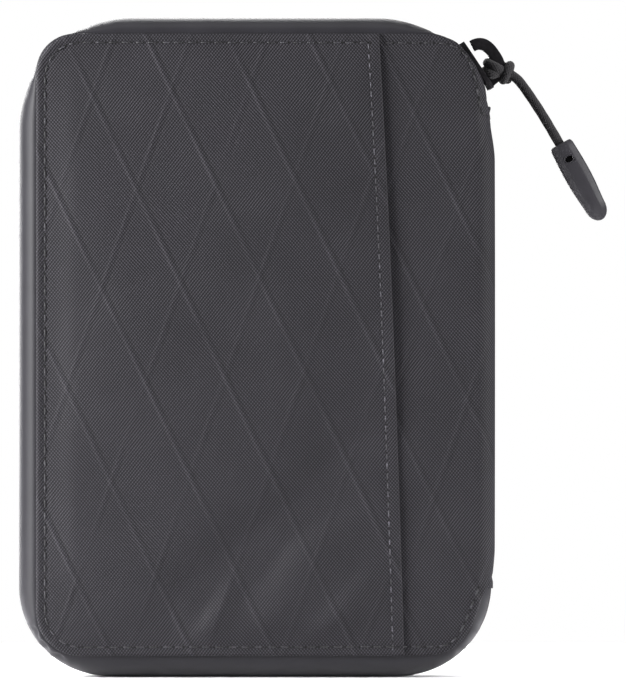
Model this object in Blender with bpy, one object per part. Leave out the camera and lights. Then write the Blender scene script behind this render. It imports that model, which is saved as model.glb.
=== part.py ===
"""Zip-around passport wallet, standing upright on its bottom edge.

Frame: +X towards the spine, -Y out of the front cover, +Z up. The origin is the middle of the
base, under the plane where the two halves meet. The halves mirror each other about y = 0.
"""

from math import cos, hypot, pi, radians, sin

import bmesh
import bpy
from mathutils import Vector
from mathutils.geometry import interpolate_bezier

MM = 0.001

# Outline of the cover panels, seen from the front.
PANEL_LEFT, PANEL_RIGHT = -48.5, 48.0
PANEL_BOTTOM, PANEL_TOP = 4.9, 142.1
PANEL_RADII = {"top_right": 10.0, "top_left": 8.5, "bottom_left": 8.5, "bottom_right": 10.0}

# Outline of the zip chain, which bulges past the panels and rounds the corners more widely.
CHAIN_LEFT, CHAIN_RIGHT = -52.7, 52.4
CHAIN_BOTTOM, CHAIN_TOP = 0.0, 146.0
CHAIN_RADII = {"top_right": 26.0, "top_left": 25.0, "bottom_left": 20.0, "bottom_right": 21.0}

# Layers of one half, as distances from the parting plane (inner face, outer face).
COVER = (10.2, 11.0)
SLIP_POCKET = (11.3, 11.9)
FLANGE = (9.3, 9.9)
STIFFENER = (9.0, 9.9)
LINING = (8.2, 8.7)
BINDING = (7.3, 7.9)
SLEEVE = (7.4, 7.9)
PASSPORT_POCKET = (2.6, 7.9)
PASSPORT_POCKET_TOP = 104.0
POCKET_WALL = 0.4
SLEEVE_TOP = 128.0
CARD_SLOTS = ((6.6, 7.1), (5.8, 6.3), (5.0, 5.5))
CARD_SLOT_TOPS = (92.0, 78.0, 64.0)
FLANGE_WIDTH = 0.7
LINING_INSET = 2.2
BINDING_INSETS = (2.3, 3.2)
POCKET_LEFT, POCKET_RIGHT, POCKET_BOTTOM = -45.0, 44.5, 8.5
POCKET_RADII = {"top_right": 0, "top_left": 0, "bottom_left": 7.0, "bottom_right": 7.0}

# Zip: each tape stops short of the parting plane, and further off where the slider parks.
TAPE_EDGE, TAPE_NOTCH_EDGE = 0.8, 4.7
TAPE_THICKNESS = 0.7
TAPE_FLAT = 5.4
TAPE_SEAM = 0.3
COIL = {"inner": 0.8, "outer": 2.4, "near": 1.1, "far": 2.35}
NOTCH_TOP_DEG, NOTCH_BOTTOM_DEG = 50.0, -32.0
TAIL_HALF_WIDTH, TAIL_INSET, TAIL_THICKNESS = 4.0, 1.1, 0.7
TAIL_TOP_DEG, TAIL_BOTTOM_DEG = (4.0, 19.0), (0.0, -31.0)
STOP_DEPTH = (2.1, 3.1)

# Spine.
SPINE_LOW, SPINE_HIGH = 20.0, 123.7
SPINE_X = 52.7
SPINE_RADIUS = 4.4
SPINE_THICKNESS = 0.8
FOLD_X, FOLD_Y = 51.75, 10.05

# Slider, drawn in its own axes: u back along the zip, n out from the corner's centre.
CORNER_X = CHAIN_RIGHT - CHAIN_RADII["top_right"]
CORNER_Z = CHAIN_TOP - CHAIN_RADII["top_right"]
SLIDER_DEG = 34.0
OUTER_PLATE = {"n": (26.5, 27.4), "half_length": 6.15, "half_width": 3.9, "tail_width": 2.8}
INNER_PLATE = {"n": (21.7, 22.7), "half_length": 5.5, "half_width": 3.6}
SLIDER_FLANGE = {"y": (2.8, 3.6), "n_top": 24.3, "u": (-5.5, 1.0)}
SLIDER_POST = {"half_width": 0.5, "u": (1.5, 4.5)}
CROWN = {"u": -0.1, "n": 28.1, "length": 4.6, "height": 3.3, "bar": 2.0, "half_width": 1.3}
CROWN_FOOT_N = 27.8

# Cord and pull.
CORD_DIAMETER = 2.2
KNOT_CENTRE = (56.15, 133.8)
KNOT_RADIUS, KNOT_THICKNESS, KNOT_TILT_DEG = 2.7, 2.0, -15.0
CORD_ROUTE = ((57.75, 132.6), (59.2, 131.0), (62.1, 126.8), (64.3, 123.3), (66.75, 119.15))
LOOP_PIVOT = (54.2, 134.6)
PULL_PIVOT = (57.2, 133.2)
TAB_TOP = (67.4, 118.1)
TAB_SLOPE_DEG = -61.0
TAB_SECTIONS = ((0.0, 1.7, 1.5), (0.7, 2.3, 2.0), (7.0, 2.65, 2.2), (16.0, 2.35, 2.1),
                (18.4, 1.9, 1.7), (19.2, 1.2, 1.1))
TAB_BEVEL = 0.45
TAB_HOLE = {"along": 3.4, "length": 1.8, "width": 1.2}

CHARCOAL = (0.058, 0.055, 0.063)


def clear_scene():
    for old in list(bpy.data.objects):
        bpy.data.objects.remove(old)


def material(name, colour, roughness, metallic=0.0):
    made = bpy.data.materials.new(name)
    made.use_nodes = True
    shader = made.node_tree.nodes["Principled BSDF"]
    shader.inputs["Base Color"].default_value = (*colour, 1.0)
    shader.inputs["Roughness"].default_value = roughness
    shader.inputs["Metallic"].default_value = metallic
    return made


def add_object(name, mesh_or_curve, look, parent=None):
    made = bpy.data.objects.new(name, mesh_or_curve)
    bpy.context.collection.objects.link(made)
    made.data.materials.append(look)
    if parent is not None:
        made.parent = parent
        made.location = -parent.location
    return made


def add_pivot(name, x, y, z):
    """An empty on a joint's axis, which the pieces of one moving body hang on."""
    pivot = bpy.data.objects.new(name, None)
    bpy.context.collection.objects.link(pivot)
    pivot.location = Vector((x, y, z)) * MM
    return pivot


def hang(pivot, parent):
    pivot.parent = parent
    pivot.location = pivot.location - parent.location


def solid(name, verts, faces, look, parent=None):
    """A closed mesh from points in millimetres, with its faces turned outwards."""
    mesh = bpy.data.meshes.new(name)
    mesh.from_pydata([Vector(v) * MM for v in verts], [], faces)
    edit = bmesh.new()
    edit.from_mesh(mesh)
    bmesh.ops.recalc_face_normals(edit, faces=edit.faces)
    edit.to_mesh(mesh)
    edit.free()
    mesh.update()
    return add_object(name, mesh, look, parent)


def prism(name, outline, low, high, look, parent=None):
    """The outline's points run through place(point, level) at two levels."""
    place, points = outline
    count = len(points)
    verts = [place(p, low) for p in points] + [place(p, high) for p in points]
    sides = [(i, (i + 1) % count, count + (i + 1) % count, count + i) for i in range(count)]
    return solid(name, verts, [tuple(range(count)), tuple(range(count, 2 * count)), *sides],
                 look, parent)


def tube_of_rings(name, rings, look, parent=None, closed=False):
    """A band through equal rings of points, capped at its ends unless it is closed."""
    size, count = len(rings[0]), len(rings)
    verts = [v for ring in rings for v in ring]
    faces = []
    for r in range(count if closed else count - 1):
        a, b = r * size, (r + 1) % count * size
        faces += [(a + i, a + (i + 1) % size, b + (i + 1) % size, b + i) for i in range(size)]
    if not closed:
        faces += [tuple(range(size)), tuple(range((count - 1) * size, count * size))]
    return solid(name, verts, faces, look, parent)


def hidden_cutter(cutter):
    cutter.hide_render = True
    cutter.display_type = "WIRE"
    return cutter


def combine(target, other, operation):
    modifier = target.modifiers.new(operation.lower(), "BOOLEAN")
    modifier.object = hidden_cutter(other)
    modifier.operation = operation


# ---- outlines ----


def front_place(side):
    """Places outline points (x, z) at a distance from the parting plane, on one side of it."""
    return lambda p, level: (p[0], side * level, p[1])


def arc(cx, cz, radius, start_deg, end_deg, steps):
    angles = [radians(start_deg + (end_deg - start_deg) * i / steps) for i in range(steps + 1)]
    return [(cx + radius * cos(a), cz + radius * sin(a)) for a in angles]


def rounded_box(left, right, bottom, top, radii, steps=5):
    """Anticlockwise from the top right corner; a radius of 0 is a plain corner."""
    r = radii
    corners = (
        (right - r["top_right"], top - r["top_right"], r["top_right"], 0),
        (left + r["top_left"], top - r["top_left"], r["top_left"], 90),
        (left + r["bottom_left"], bottom + r["bottom_left"], r["bottom_left"], 180),
        (right - r["bottom_right"], bottom + r["bottom_right"], r["bottom_right"], 270),
    )
    points = []
    for cx, cz, radius, start in corners:
        points += arc(cx, cz, radius, start, start + 90, steps) if radius else [(cx, cz)]
    return points


def panel_outline(inset):
    radii = {corner: max(r - inset, 1.0) for corner, r in PANEL_RADII.items()}
    return rounded_box(PANEL_LEFT + inset, PANEL_RIGHT - inset, PANEL_BOTTOM + inset,
                       PANEL_TOP - inset, radii)


def resample(points, fractions):
    """Points at the given fractions of a polyline's length, with the direction there."""
    lengths = [0.0]
    for a, b in zip(points, points[1:]):
        lengths.append(lengths[-1] + hypot(b[0] - a[0], b[1] - a[1]))
    found = []
    for fraction in fractions:
        want = fraction * lengths[-1]
        i = max(k for k in range(len(points) - 1) if lengths[k] <= want + 1e-9)
        a, b = points[i], points[i + 1]
        span = lengths[i + 1] - lengths[i]
        t = (want - lengths[i]) / span
        direction = ((b[0] - a[0]) / span, (b[1] - a[1]) / span)
        found.append(((a[0] + (b[0] - a[0]) * t, a[1] + (b[1] - a[1]) * t), direction))
    return found


def corner_stations(name, start_deg, sign_x, sign_z, cuts):
    """Stations round one corner: (panel point, outward, chain point, outward, chain angle)."""
    chain_r, panel_r = CHAIN_RADII[name], PANEL_RADII[name]
    chain_x = (CHAIN_RIGHT if sign_x > 0 else CHAIN_LEFT) - sign_x * chain_r
    chain_z = (CHAIN_TOP if sign_z > 0 else CHAIN_BOTTOM) - sign_z * chain_r
    panel_x = (PANEL_RIGHT if sign_x > 0 else PANEL_LEFT) - sign_x * panel_r
    panel_z = (PANEL_TOP if sign_z > 0 else PANEL_BOTTOM) - sign_z * panel_r
    bend = arc(panel_x, panel_z, panel_r, start_deg, start_deg + 90, 10)
    ends = [(chain_x if abs(sin(radians(a))) > 0.5 else bend[i][0],
             bend[i][1] if abs(sin(radians(a))) > 0.5 else chain_z)
            for i, a in ((0, start_deg), (-1, start_deg + 90))]
    path = [ends[0], *bend, ends[1]]
    stations = []
    for cut, (point, along) in zip(cuts, resample(path, [c / 90 for c in cuts])):
        angle = radians(start_deg + cut)
        out = (cos(angle), sin(angle))
        chain = (chain_x + chain_r * out[0], chain_z + chain_r * out[1])
        stations.append((point, (along[1], -along[0]), chain, out, start_deg + cut))
    return stations


def zip_stations():
    """All stations, anticlockwise from above the spine's top end to below its bottom end."""
    even = [0, 10, 20, 30, 40, 50, 60, 70, 80, 90]
    top_cuts = sorted({*even, NOTCH_TOP_DEG + 0.3})
    bottom_cuts = sorted({*even, 90 + NOTCH_BOTTOM_DEG - 0.3, 90 + NOTCH_BOTTOM_DEG})
    top_z = SPINE_HIGH + 0.5
    bottom_z = SPINE_LOW - 0.5
    top = corner_stations("top_right", 0, 1, 1, top_cuts)
    top = [s for s in top if s[2][1] > top_z]
    last = corner_stations("bottom_right", 270, 1, -1, bottom_cuts)
    last = [s for s in last if s[2][1] < bottom_z]
    side = (1.0, 0.0)
    first = ((PANEL_RIGHT, top_z), side, (CHAIN_RIGHT - 0.3, top_z), side, 0.0)
    end = ((PANEL_RIGHT, bottom_z), side, (CHAIN_RIGHT, bottom_z), side, 360.0)
    return [first, *top, *corner_stations("top_left", 90, -1, 1, even),
            *corner_stations("bottom_left", 180, -1, -1, even), *last, end]


def in_notch(angle_deg):
    return angle_deg <= NOTCH_TOP_DEG or angle_deg >= 360 + NOTCH_BOTTOM_DEG


def shifted(point, out, distance):
    return (point[0] + out[0] * distance, point[1] + out[1] * distance)


def blend_points(a, b, t):
    return (a[0] + (b[0] - a[0]) * t, a[1] + (b[1] - a[1]) * t)


# ---- pieces ----


def gusset(name, side, look, parent):
    """The strip that is sewn under the cover's edge and bulges out and over to the zip tape."""
    place = front_place(side)
    rings = []
    for panel, panel_out, chain, chain_out, _ in zip_stations():
        inside = shifted(chain, chain_out, -TAPE_THICKNESS)
        start = shifted(panel, panel_out, -FLANGE_WIDTH)
        bulge = blend_points(panel, chain, 0.8)
        rings.append([
            place(start, FLANGE[1]),
            place(panel, FLANGE[1]),
            place(bulge, 8.1),
            place(chain, TAPE_FLAT),
            place(inside, TAPE_FLAT),
            place(shifted(bulge, chain_out, -TAPE_THICKNESS), 7.5),
            place(shifted(panel, panel_out, -0.3), FLANGE[0]),
            place(start, FLANGE[0]),
        ])
    return tube_of_rings(name, rings, look, parent)


def zip_tape(name, side, look, parent):
    """The flat strip that carries the coil, from the gusset's edge to the parting plane."""
    place = front_place(side)
    rings = []
    for _, _, chain, out, angle in zip_stations():
        edge = TAPE_NOTCH_EDGE if in_notch(angle) else TAPE_EDGE
        inside = shifted(chain, out, -TAPE_THICKNESS)
        seam = TAPE_FLAT - TAPE_SEAM
        rings.append([place(chain, seam), place(chain, edge),
                      place(inside, edge), place(inside, seam)])
    return tube_of_rings(name, rings, look, parent)


def zip_coil(name, side, look, parent):
    place = front_place(side)
    rings = []
    for _, _, chain, out, angle in zip_stations():
        if in_notch(angle):
            continue
        near = shifted(chain, out, -COIL["near"])
        far = shifted(chain, out, -COIL["far"])
        rings.append([place(near, COIL["inner"]), place(near, COIL["outer"]),
                      place(far, COIL["outer"]), place(far, COIL["inner"])])
    return tube_of_rings(name, rings, look, parent)


def seam_binding(name, side, look, parent):
    """Binding tape folded over the raw seam inside, all round the half."""
    place = front_place(side)
    outer = panel_outline(BINDING_INSETS[0])
    inner = panel_outline(BINDING_INSETS[1])
    rings = [[place(o, BINDING[1]), place(i, BINDING[1]), place(i, BINDING[0]),
              place(o, BINDING[0])] for o, i in zip(outer, inner)]
    return tube_of_rings(name, rings, look, parent, closed=True)


def corner_centre(name):
    """Centre and radius of the chain's top right or bottom right corner."""
    radius = CHAIN_RADII[name]
    z = CHAIN_TOP - radius if name == "top_right" else CHAIN_BOTTOM + radius
    return CHAIN_RIGHT - radius, z, radius


def zip_tail(name, corner, start_deg, end_deg, look):
    """The joined end of both tapes, from under the spine's end round to the chain."""
    cx, cz, radius = corner_centre(corner)
    near = radius - TAIL_INSET
    far = near - TAIL_THICKNESS
    half = TAIL_HALF_WIDTH
    rings = [[(n[0], -half, n[1]), (n[0], half, n[1]), (f[0], half, f[1]), (f[0], -half, f[1])]
             for n, f in zip(arc(cx, cz, near, start_deg, end_deg, 4),
                             arc(cx, cz, far, start_deg, end_deg, 4))]
    return tube_of_rings(name, rings, look)


def zip_stop(name, corner, low_deg, high_deg, y_low, y_high, look):
    """A stop clinched on the chain's end, on the inner side of the tape."""
    cx, cz, radius = corner_centre(corner)
    outer = arc(cx, cz, radius - STOP_DEPTH[0], low_deg, high_deg, 2)
    inner = arc(cx, cz, radius - STOP_DEPTH[1], high_deg, low_deg, 2)
    place = lambda p, level: (p[0], level, p[1])
    return prism(name, (place, outer + inner), y_low, y_high, look)


def spine_panel(look):
    """A flat strip whose long edges roll round to meet the two covers."""
    centre_x = SPINE_X - SPINE_RADIUS
    centre_y = COVER[1] - SPINE_RADIUS

    def rolled(radius):
        front = arc(centre_x, -centre_y, radius, -90, 0, 6)
        back = arc(centre_x, centre_y, radius, 0, 90, 6)
        return front + back

    outer = rolled(SPINE_RADIUS)
    inner = rolled(SPINE_RADIUS - SPINE_THICKNESS)
    place = lambda p, level: (p[0], p[1], level)
    return prism("spine_panel", (place, outer + inner[::-1]), SPINE_LOW, SPINE_HIGH, look)


def box(name, x, y, z, look, parent=None):
    place = lambda p, level: (p[0], p[1], level)
    corners = [(x[0], y[0]), (x[1], y[0]), (x[1], y[1]), (x[0], y[1])]
    return prism(name, (place, corners), z[0], z[1], look, parent)


def passport_pocket(look, parent):
    """A top-loading pocket: a front sheet with walls down both sides and along the bottom."""
    left, right, bottom, top = POCKET_LEFT, POCKET_RIGHT, POCKET_BOTTOM, PASSPORT_POCKET_TOP
    near, far = PASSPORT_POCKET
    outline = rounded_box(left, right, bottom, top, POCKET_RADII, 3)
    hollow = rounded_box(left + POCKET_WALL, right - POCKET_WALL, bottom + POCKET_WALL,
                         top + POCKET_WALL, POCKET_RADII, 3)
    place = front_place(1)
    shell = prism("passport_pocket", (place, outline), near, far, look, parent)
    room = prism("passport_pocket_room", (place, hollow), near + POCKET_WALL, far + POCKET_WALL,
                 look, parent)
    combine(shell, room, "DIFFERENCE")
    return shell


def slider_place(u, n, y):
    a = radians(SLIDER_DEG)
    return (CORNER_X + n * cos(a) - u * sin(a), y, CORNER_Z + n * sin(a) + u * cos(a))


def slider_prism(name, points, low, high, look, parent):
    """Points (u, y), run between two heights n."""
    place = lambda p, level: slider_place(p[0], level, p[1])
    return prism(name, (place, points), low, high, look, parent)


def rectangle(u, y):
    return [(u[0], y[0]), (u[1], y[0]), (u[1], y[1]), (u[0], y[1])]


def slider_body(look, parent):
    """Outer plate over the tapes, post between them and a flanged inner plate under the coil."""
    length, width = OUTER_PLATE["half_length"], OUTER_PLATE["half_width"]
    tail = OUTER_PLATE["tail_width"]
    half = [(-length, tail * 0.6), (-length + 1.2, tail), (-0.5, width - 0.4), (2.0, width),
            (length - 1.2, width), (length, width - 1.4)]
    plate = half + [(u, -y) for u, y in reversed(half)]
    body = slider_prism("slider_body", plate, *OUTER_PLATE["n"], look, parent)
    inner_low, inner_high = INNER_PLATE["n"]
    reach, half_width = INNER_PLATE["half_length"], INNER_PLATE["half_width"]
    under = slider_prism("slider_inner_plate", rectangle((-reach, reach), (-half_width, half_width)),
                         inner_low, inner_high, look, parent)
    post_y = SLIDER_POST["half_width"]
    post = slider_prism("slider_post", rectangle(SLIDER_POST["u"], (-post_y, post_y)),
                        inner_low + 0.4, OUTER_PLATE["n"][0] + 0.4, look, parent)
    combine(body, post, "UNION")
    combine(body, under, "UNION")
    near, far = SLIDER_FLANGE["y"]
    for label, ys in (("front", (-far, -near)), ("back", (near, far))):
        flange = slider_prism(f"slider_flange_{label}", rectangle(SLIDER_FLANGE["u"], ys),
                              inner_low + 0.4, SLIDER_FLANGE["n_top"], look, parent)
        combine(body, flange, "UNION")
    return body


def slider_crown(look, parent):
    """An open hook rooted at the slider's lower end, which the cord is looped on."""
    half = CROWN["bar"] / 2
    outer, inner = [], []
    for degrees in range(5, 181, 15):
        t = radians(degrees)
        u, n = CROWN["u"] + CROWN["length"] * cos(t), CROWN["n"] + CROWN["height"] * sin(t)
        across = Vector((cos(t) / CROWN["length"], sin(t) / CROWN["height"])).normalized() * half
        outer.append((u + across.x, n + across.y))
        inner.append((u - across.x, n - across.y))
    foot_u = CROWN["u"] - CROWN["length"]
    outline = outer + [(foot_u - half, CROWN_FOOT_N), (foot_u + half, CROWN_FOOT_N)] + inner[::-1]
    place = lambda p, level: slider_place(p[0], p[1], level)
    return prism("slider_crown", (place, outline), -CROWN["half_width"], CROWN["half_width"],
                 look, parent)


def pull_cord_knot(look, parent):
    """The outer shape of the knot's wrap: a thick disc across the cord."""
    a = radians(KNOT_TILT_DEG)
    along, up = Vector((cos(a), 0, sin(a))), Vector((-sin(a), 0, cos(a)))
    side = Vector((0, 1, 0))
    centre = Vector((KNOT_CENTRE[0], 0, KNOT_CENTRE[1]))
    rings = []
    half = KNOT_THICKNESS / 2
    for offset, scale in ((-half, 0.8), (-half * 0.5, 1.0), (half * 0.35, 1.0), (half * 0.8, 0.7)):
        ring = []
        for i in range(12):
            t = 2 * pi * i / 12
            radial = up * cos(t) + side * sin(t)
            ring.append(tuple(centre + along * offset + radial * KNOT_RADIUS * scale))
        rings.append(ring)
    return tube_of_rings("pull_cord_knot", rings, look, parent)


def smooth_route(route, steps):
    """Points along a smooth curve through the route, in metres."""
    points = [Vector((x, 0, z)) * MM for x, z in route]
    ends = [points[0] * 2 - points[1], *points, points[-1] * 2 - points[-2]]
    found = []
    for i in range(1, len(ends) - 2):
        a, b, c, d = ends[i - 1:i + 3]
        piece = interpolate_bezier(b, b + (c - a) / 6, c - (d - b) / 6, c, steps + 1)
        found += piece[:-1]
    return found + [points[-1]]


def pull_cord(look, parent):
    curve = bpy.data.curves.new("pull_cord", "CURVE")
    curve.dimensions = "3D"
    curve.bevel_depth = CORD_DIAMETER / 2 * MM
    curve.bevel_resolution = 2
    curve.use_fill_caps = True
    points = smooth_route(CORD_ROUTE, 2)
    spline = curve.splines.new("POLY")
    spline.points.add(len(points) - 1)
    for target, point in zip(spline.points, points):
        target.co = (*point, 1.0)
    return add_object("pull_cord", curve, look, parent)


def pull_tab(look, parent):
    """A moulded tab of eight-sided section, with a slot near its top."""
    a = radians(TAB_SLOPE_DEG)
    along, across = Vector((cos(a), 0, sin(a))), Vector((-sin(a), 0, cos(a)))
    side = Vector((0, 1, 0))
    top = Vector((TAB_TOP[0], 0, TAB_TOP[1]))
    flat = 1 - TAB_BEVEL
    octagon = ((1, flat), (flat, 1), (-flat, 1), (-1, flat),
               (-1, -flat), (-flat, -1), (flat, -1), (1, -flat))
    rings = [[tuple(top + along * s + across * w * half + side * d * depth) for w, d in octagon]
             for s, half, depth in TAB_SECTIONS]
    tab = tube_of_rings("pull_tab", rings, look, parent)
    centre = top + along * TAB_HOLE["along"]
    outline = []
    for i in range(12):
        t = 2 * pi * i / 12
        offset = along * cos(t) * TAB_HOLE["length"] / 2 + across * sin(t) * TAB_HOLE["width"] / 2
        outline.append(centre + offset)
    place = lambda p, level: (p.x, level, p.z)
    hole = prism("pull_tab_slot", (place, outline), -4.0, 4.0, look, parent)
    combine(tab, hole, "DIFFERENCE")
    return tab


def slip_pocket(look, parent):
    """Outer pocket sheet. Its hemmed mouth slants, and faces the spine."""
    inset = 0.4
    left, bottom, top = PANEL_LEFT + inset, PANEL_BOTTOM + inset, PANEL_TOP - inset
    radius = PANEL_RADII["top_left"] - inset
    points = [(27.0, top)]
    points += arc(left + radius, top - radius, radius, 90, 180, 5)
    points += arc(left + radius, bottom + radius, radius, 180, 270, 5)
    points += [(32.5, bottom), (31.2, 40.0), (29.4, 90.0)]
    return prism("front_slip_pocket", (front_place(-1), points), *SLIP_POCKET, look, parent)


def half_pieces(label, side, looks, parent):
    """What the two halves have in common."""
    place = front_place(side)
    prism(f"{label}_cover_fabric", (place, panel_outline(0.0)), *COVER, looks["shell"], parent)
    prism(f"{label}_stiffener", (place, panel_outline(3.4)), *STIFFENER, looks["board"], parent)
    prism(f"{label}_lining", (place, panel_outline(LINING_INSET)), *LINING, looks["lining"], parent)
    seam_binding(f"{label}_seam_binding", side, looks["binding"], parent)
    gusset(f"{label}_gusset", side, looks["tape"], parent)
    zip_tape(f"{label}_zip_tape", side, looks["tape"], parent)
    zip_coil(f"{label}_zip_coil", side, looks["coil"], parent)


def front_pockets(looks, parent):
    place = front_place(-1)
    slip_pocket(looks["shell"], parent)
    sleeve = rounded_box(POCKET_LEFT, POCKET_RIGHT, POCKET_BOTTOM, SLEEVE_TOP, POCKET_RADII, 3)
    prism("cash_sleeve", (place, sleeve), *SLEEVE, looks["lining"], parent)
    for index, (levels, top) in enumerate(zip(CARD_SLOTS, CARD_SLOT_TOPS), 1):
        slot = rounded_box(POCKET_LEFT, POCKET_RIGHT, POCKET_BOTTOM, top, POCKET_RADII, 3)
        prism(f"card_slot_{index}", (place, slot), *levels, looks["pocket"], parent)


def back_pockets(looks, parent):
    passport_pocket(looks["pocket"], parent)
    near = PASSPORT_POCKET[0]
    box("passport_pocket_binding", (POCKET_LEFT, POCKET_RIGHT), (near - 0.9, near - 0.3),
        (PASSPORT_POCKET_TOP - 7.0, PASSPORT_POCKET_TOP - 0.2),
        looks["binding"], parent)


def main():
    clear_scene()
    looks = {
        "shell": material("laminated_ripstop", CHARCOAL, 0.62),
        "tape": material("coated_zip_tape", (0.075, 0.072, 0.082), 0.42),
        "board": material("foam_board", (0.03, 0.03, 0.03), 0.9),
        "lining": material("lining_fabric", (0.16, 0.17, 0.18), 0.75),
        "pocket": material("pocket_fabric", (0.11, 0.115, 0.125), 0.7),
        "binding": material("binding_tape", (0.04, 0.04, 0.045), 0.8),
        "coil": material("nylon_coil", (0.03, 0.03, 0.033), 0.45),
        "metal": material("blackened_zinc", (0.03, 0.03, 0.032), 0.38, 0.8),
        "cord": material("braided_cord", (0.045, 0.043, 0.048), 0.8),
        "tab": material("moulded_rubber", (0.05, 0.048, 0.054), 0.5),
    }

    front = add_pivot("front_fold_pivot", FOLD_X, -FOLD_Y, (SPINE_LOW + SPINE_HIGH) / 2)
    back = add_pivot("back_fold_pivot", FOLD_X, FOLD_Y, (SPINE_LOW + SPINE_HIGH) / 2)
    half_pieces("front", -1, looks, front)
    front_pockets(looks, front)
    half_pieces("back", 1, looks, back)
    back_pockets(looks, back)

    spine_panel(looks["shell"])
    box("spine_lining", (50.9, 51.5), (-6.2, 6.2), (22.0, 121.0), looks["lining"])
    zip_tail("zip_tail_top", "top_right", *TAIL_TOP_DEG, looks["tape"])
    zip_tail("zip_tail_bottom", "bottom_right", *TAIL_BOTTOM_DEG, looks["tape"])
    zip_stop("zip_top_stop_front", "top_right", 13.0, 17.0, -2.6, -0.8, looks["metal"])
    zip_stop("zip_top_stop_back", "top_right", 13.0, 17.0, 0.8, 2.6, looks["metal"])
    zip_stop("zip_bottom_stop", "bottom_right", -30.0, -26.0, -2.6, 2.6, looks["metal"])

    slider = add_pivot("slider_corner_pivot", CORNER_X, 0.0, CORNER_Z)
    slider_body(looks["metal"], slider)
    slider_crown(looks["metal"], slider)
    loop = add_pivot("pull_loop_pivot", LOOP_PIVOT[0], 0.0, LOOP_PIVOT[1])
    pull_cord_knot(looks["cord"], loop)
    hang(loop, slider)
    pull = add_pivot("pull_pivot", PULL_PIVOT[0], 0.0, PULL_PIVOT[1])
    pull_cord(looks["cord"], pull)
    pull_tab(looks["tab"], pull)
    pull.parent = loop
    pull.location = pull.location - Vector((LOOP_PIVOT[0], 0.0, LOOP_PIVOT[1])) * MM


main()
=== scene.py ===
"""Looks of the zip-around passport wallet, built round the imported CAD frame.

Lengths are in millimetres until a mesh is made, and places come from the CAD nodes' boxes.
"""

import math

import bmesh
import bpy
import numpy as np
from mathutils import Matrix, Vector


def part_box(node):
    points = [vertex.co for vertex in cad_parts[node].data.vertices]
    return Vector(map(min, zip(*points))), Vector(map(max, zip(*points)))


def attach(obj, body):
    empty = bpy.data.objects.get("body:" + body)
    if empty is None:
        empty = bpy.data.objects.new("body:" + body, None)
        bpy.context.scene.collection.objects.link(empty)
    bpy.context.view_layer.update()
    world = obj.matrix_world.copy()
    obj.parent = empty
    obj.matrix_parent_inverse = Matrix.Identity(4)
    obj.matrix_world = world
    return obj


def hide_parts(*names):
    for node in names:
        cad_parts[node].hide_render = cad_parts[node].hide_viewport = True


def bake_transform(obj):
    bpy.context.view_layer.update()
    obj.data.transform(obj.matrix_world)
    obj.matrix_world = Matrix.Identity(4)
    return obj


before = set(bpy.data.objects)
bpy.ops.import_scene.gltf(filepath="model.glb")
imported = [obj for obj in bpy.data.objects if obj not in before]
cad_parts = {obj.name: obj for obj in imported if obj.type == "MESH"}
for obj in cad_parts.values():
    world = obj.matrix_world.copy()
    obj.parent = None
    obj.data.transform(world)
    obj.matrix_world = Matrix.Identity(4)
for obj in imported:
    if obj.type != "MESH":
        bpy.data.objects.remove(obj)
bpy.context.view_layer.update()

MM = 0.001
PI = math.pi


def node_box(name):
    low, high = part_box(name)
    return np.array(low) / MM, np.array(high) / MM


# ---- driving dimensions, read from the frame ----

COVER_LOW, COVER_HIGH = node_box("back_cover_fabric")
CHAIN_LOW, CHAIN_HIGH = node_box("back_gusset")
SPINE_LOW, SPINE_HIGH = node_box("spine_panel")

LEFT, RIGHT = COVER_LOW[0], COVER_HIGH[0]
BOTTOM, TOP = COVER_LOW[2], COVER_HIGH[2]
COVER_Y = COVER_HIGH[1]
SPINE_X = SPINE_HIGH[0]
ROLL_RADIUS = 4.4
ROLL_X = SPINE_X - ROLL_RADIUS
ROLL_Y = COVER_Y - ROLL_RADIUS
ROLL_LENGTH = ROLL_RADIUS * PI / 2
SPINE_END_TOP = SPINE_HIGH[2] + 2.4
SPINE_END_BOTTOM = SPINE_LOW[2] - 0.3
PANEL_RADIUS = 9.8
CHAIN_RADII = {"top_right": 26.0, "top_left": 25.0, "bottom_left": 20.0, "bottom_right": 21.0}
PANEL_RADII = {"top_right": 10.0, "top_left": 8.5, "bottom_left": 8.5, "bottom_right": 10.0}

SEAM_INSET = 2.0
STITCH_PITCH = 2.9
HEM_WIDTH = 2.5
HEM_PITCH = 2.1
BULGE_HEIGHT = 137.0
SHELL_THICKNESS = 0.55

CORNER_X = CHAIN_HIGH[0] - CHAIN_RADII["top_right"]
CORNER_Z = CHAIN_HIGH[2] - CHAIN_RADII["top_right"]
SLIDER_DEG = 34.0

CORD_DIAMETER = 2.2
CORD_STEP = 0.42
CORD_ROUTE = ((57.45, 132.9), (59.2, 131.0), (62.1, 126.8), (64.3, 123.3), (66.75, 119.15))
TAB_TOP = (67.4, 118.1)
TAB_SLOPE = math.radians(-61.0)


# ---- meshes ----


def smoothstep(low, high, value):
    t = np.clip((value - low) / (high - low), 0.0, 1.0)
    return t * t * (3 - 2 * t)


def add_piece(name, verts, faces, look, body=None, cloth=None, flat=False):
    """A mesh object from points in millimetres. cloth holds each point's place on the cloth."""
    mesh = bpy.data.meshes.new(name)
    mesh.from_pydata([tuple(np.asarray(v) * MM) for v in verts], [], faces)
    mesh.update()
    if cloth is not None:
        layer = mesh.attributes.new("cloth_mm", "FLOAT_VECTOR", "POINT")
        data = np.zeros((len(verts), 3), np.float32)
        data[:, : np.shape(cloth)[1]] = cloth
        layer.data.foreach_set("vector", data.ravel())
    edit = bmesh.new()
    edit.from_mesh(mesh)
    bmesh.ops.recalc_face_normals(edit, faces=edit.faces)
    edit.to_mesh(mesh)
    edit.free()
    if not flat:
        mesh.shade_smooth()
    mesh.materials.append(look)
    piece = bpy.data.objects.new(name, mesh)
    bpy.context.collection.objects.link(piece)
    if body:
        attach(piece, body)
    return piece


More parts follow.
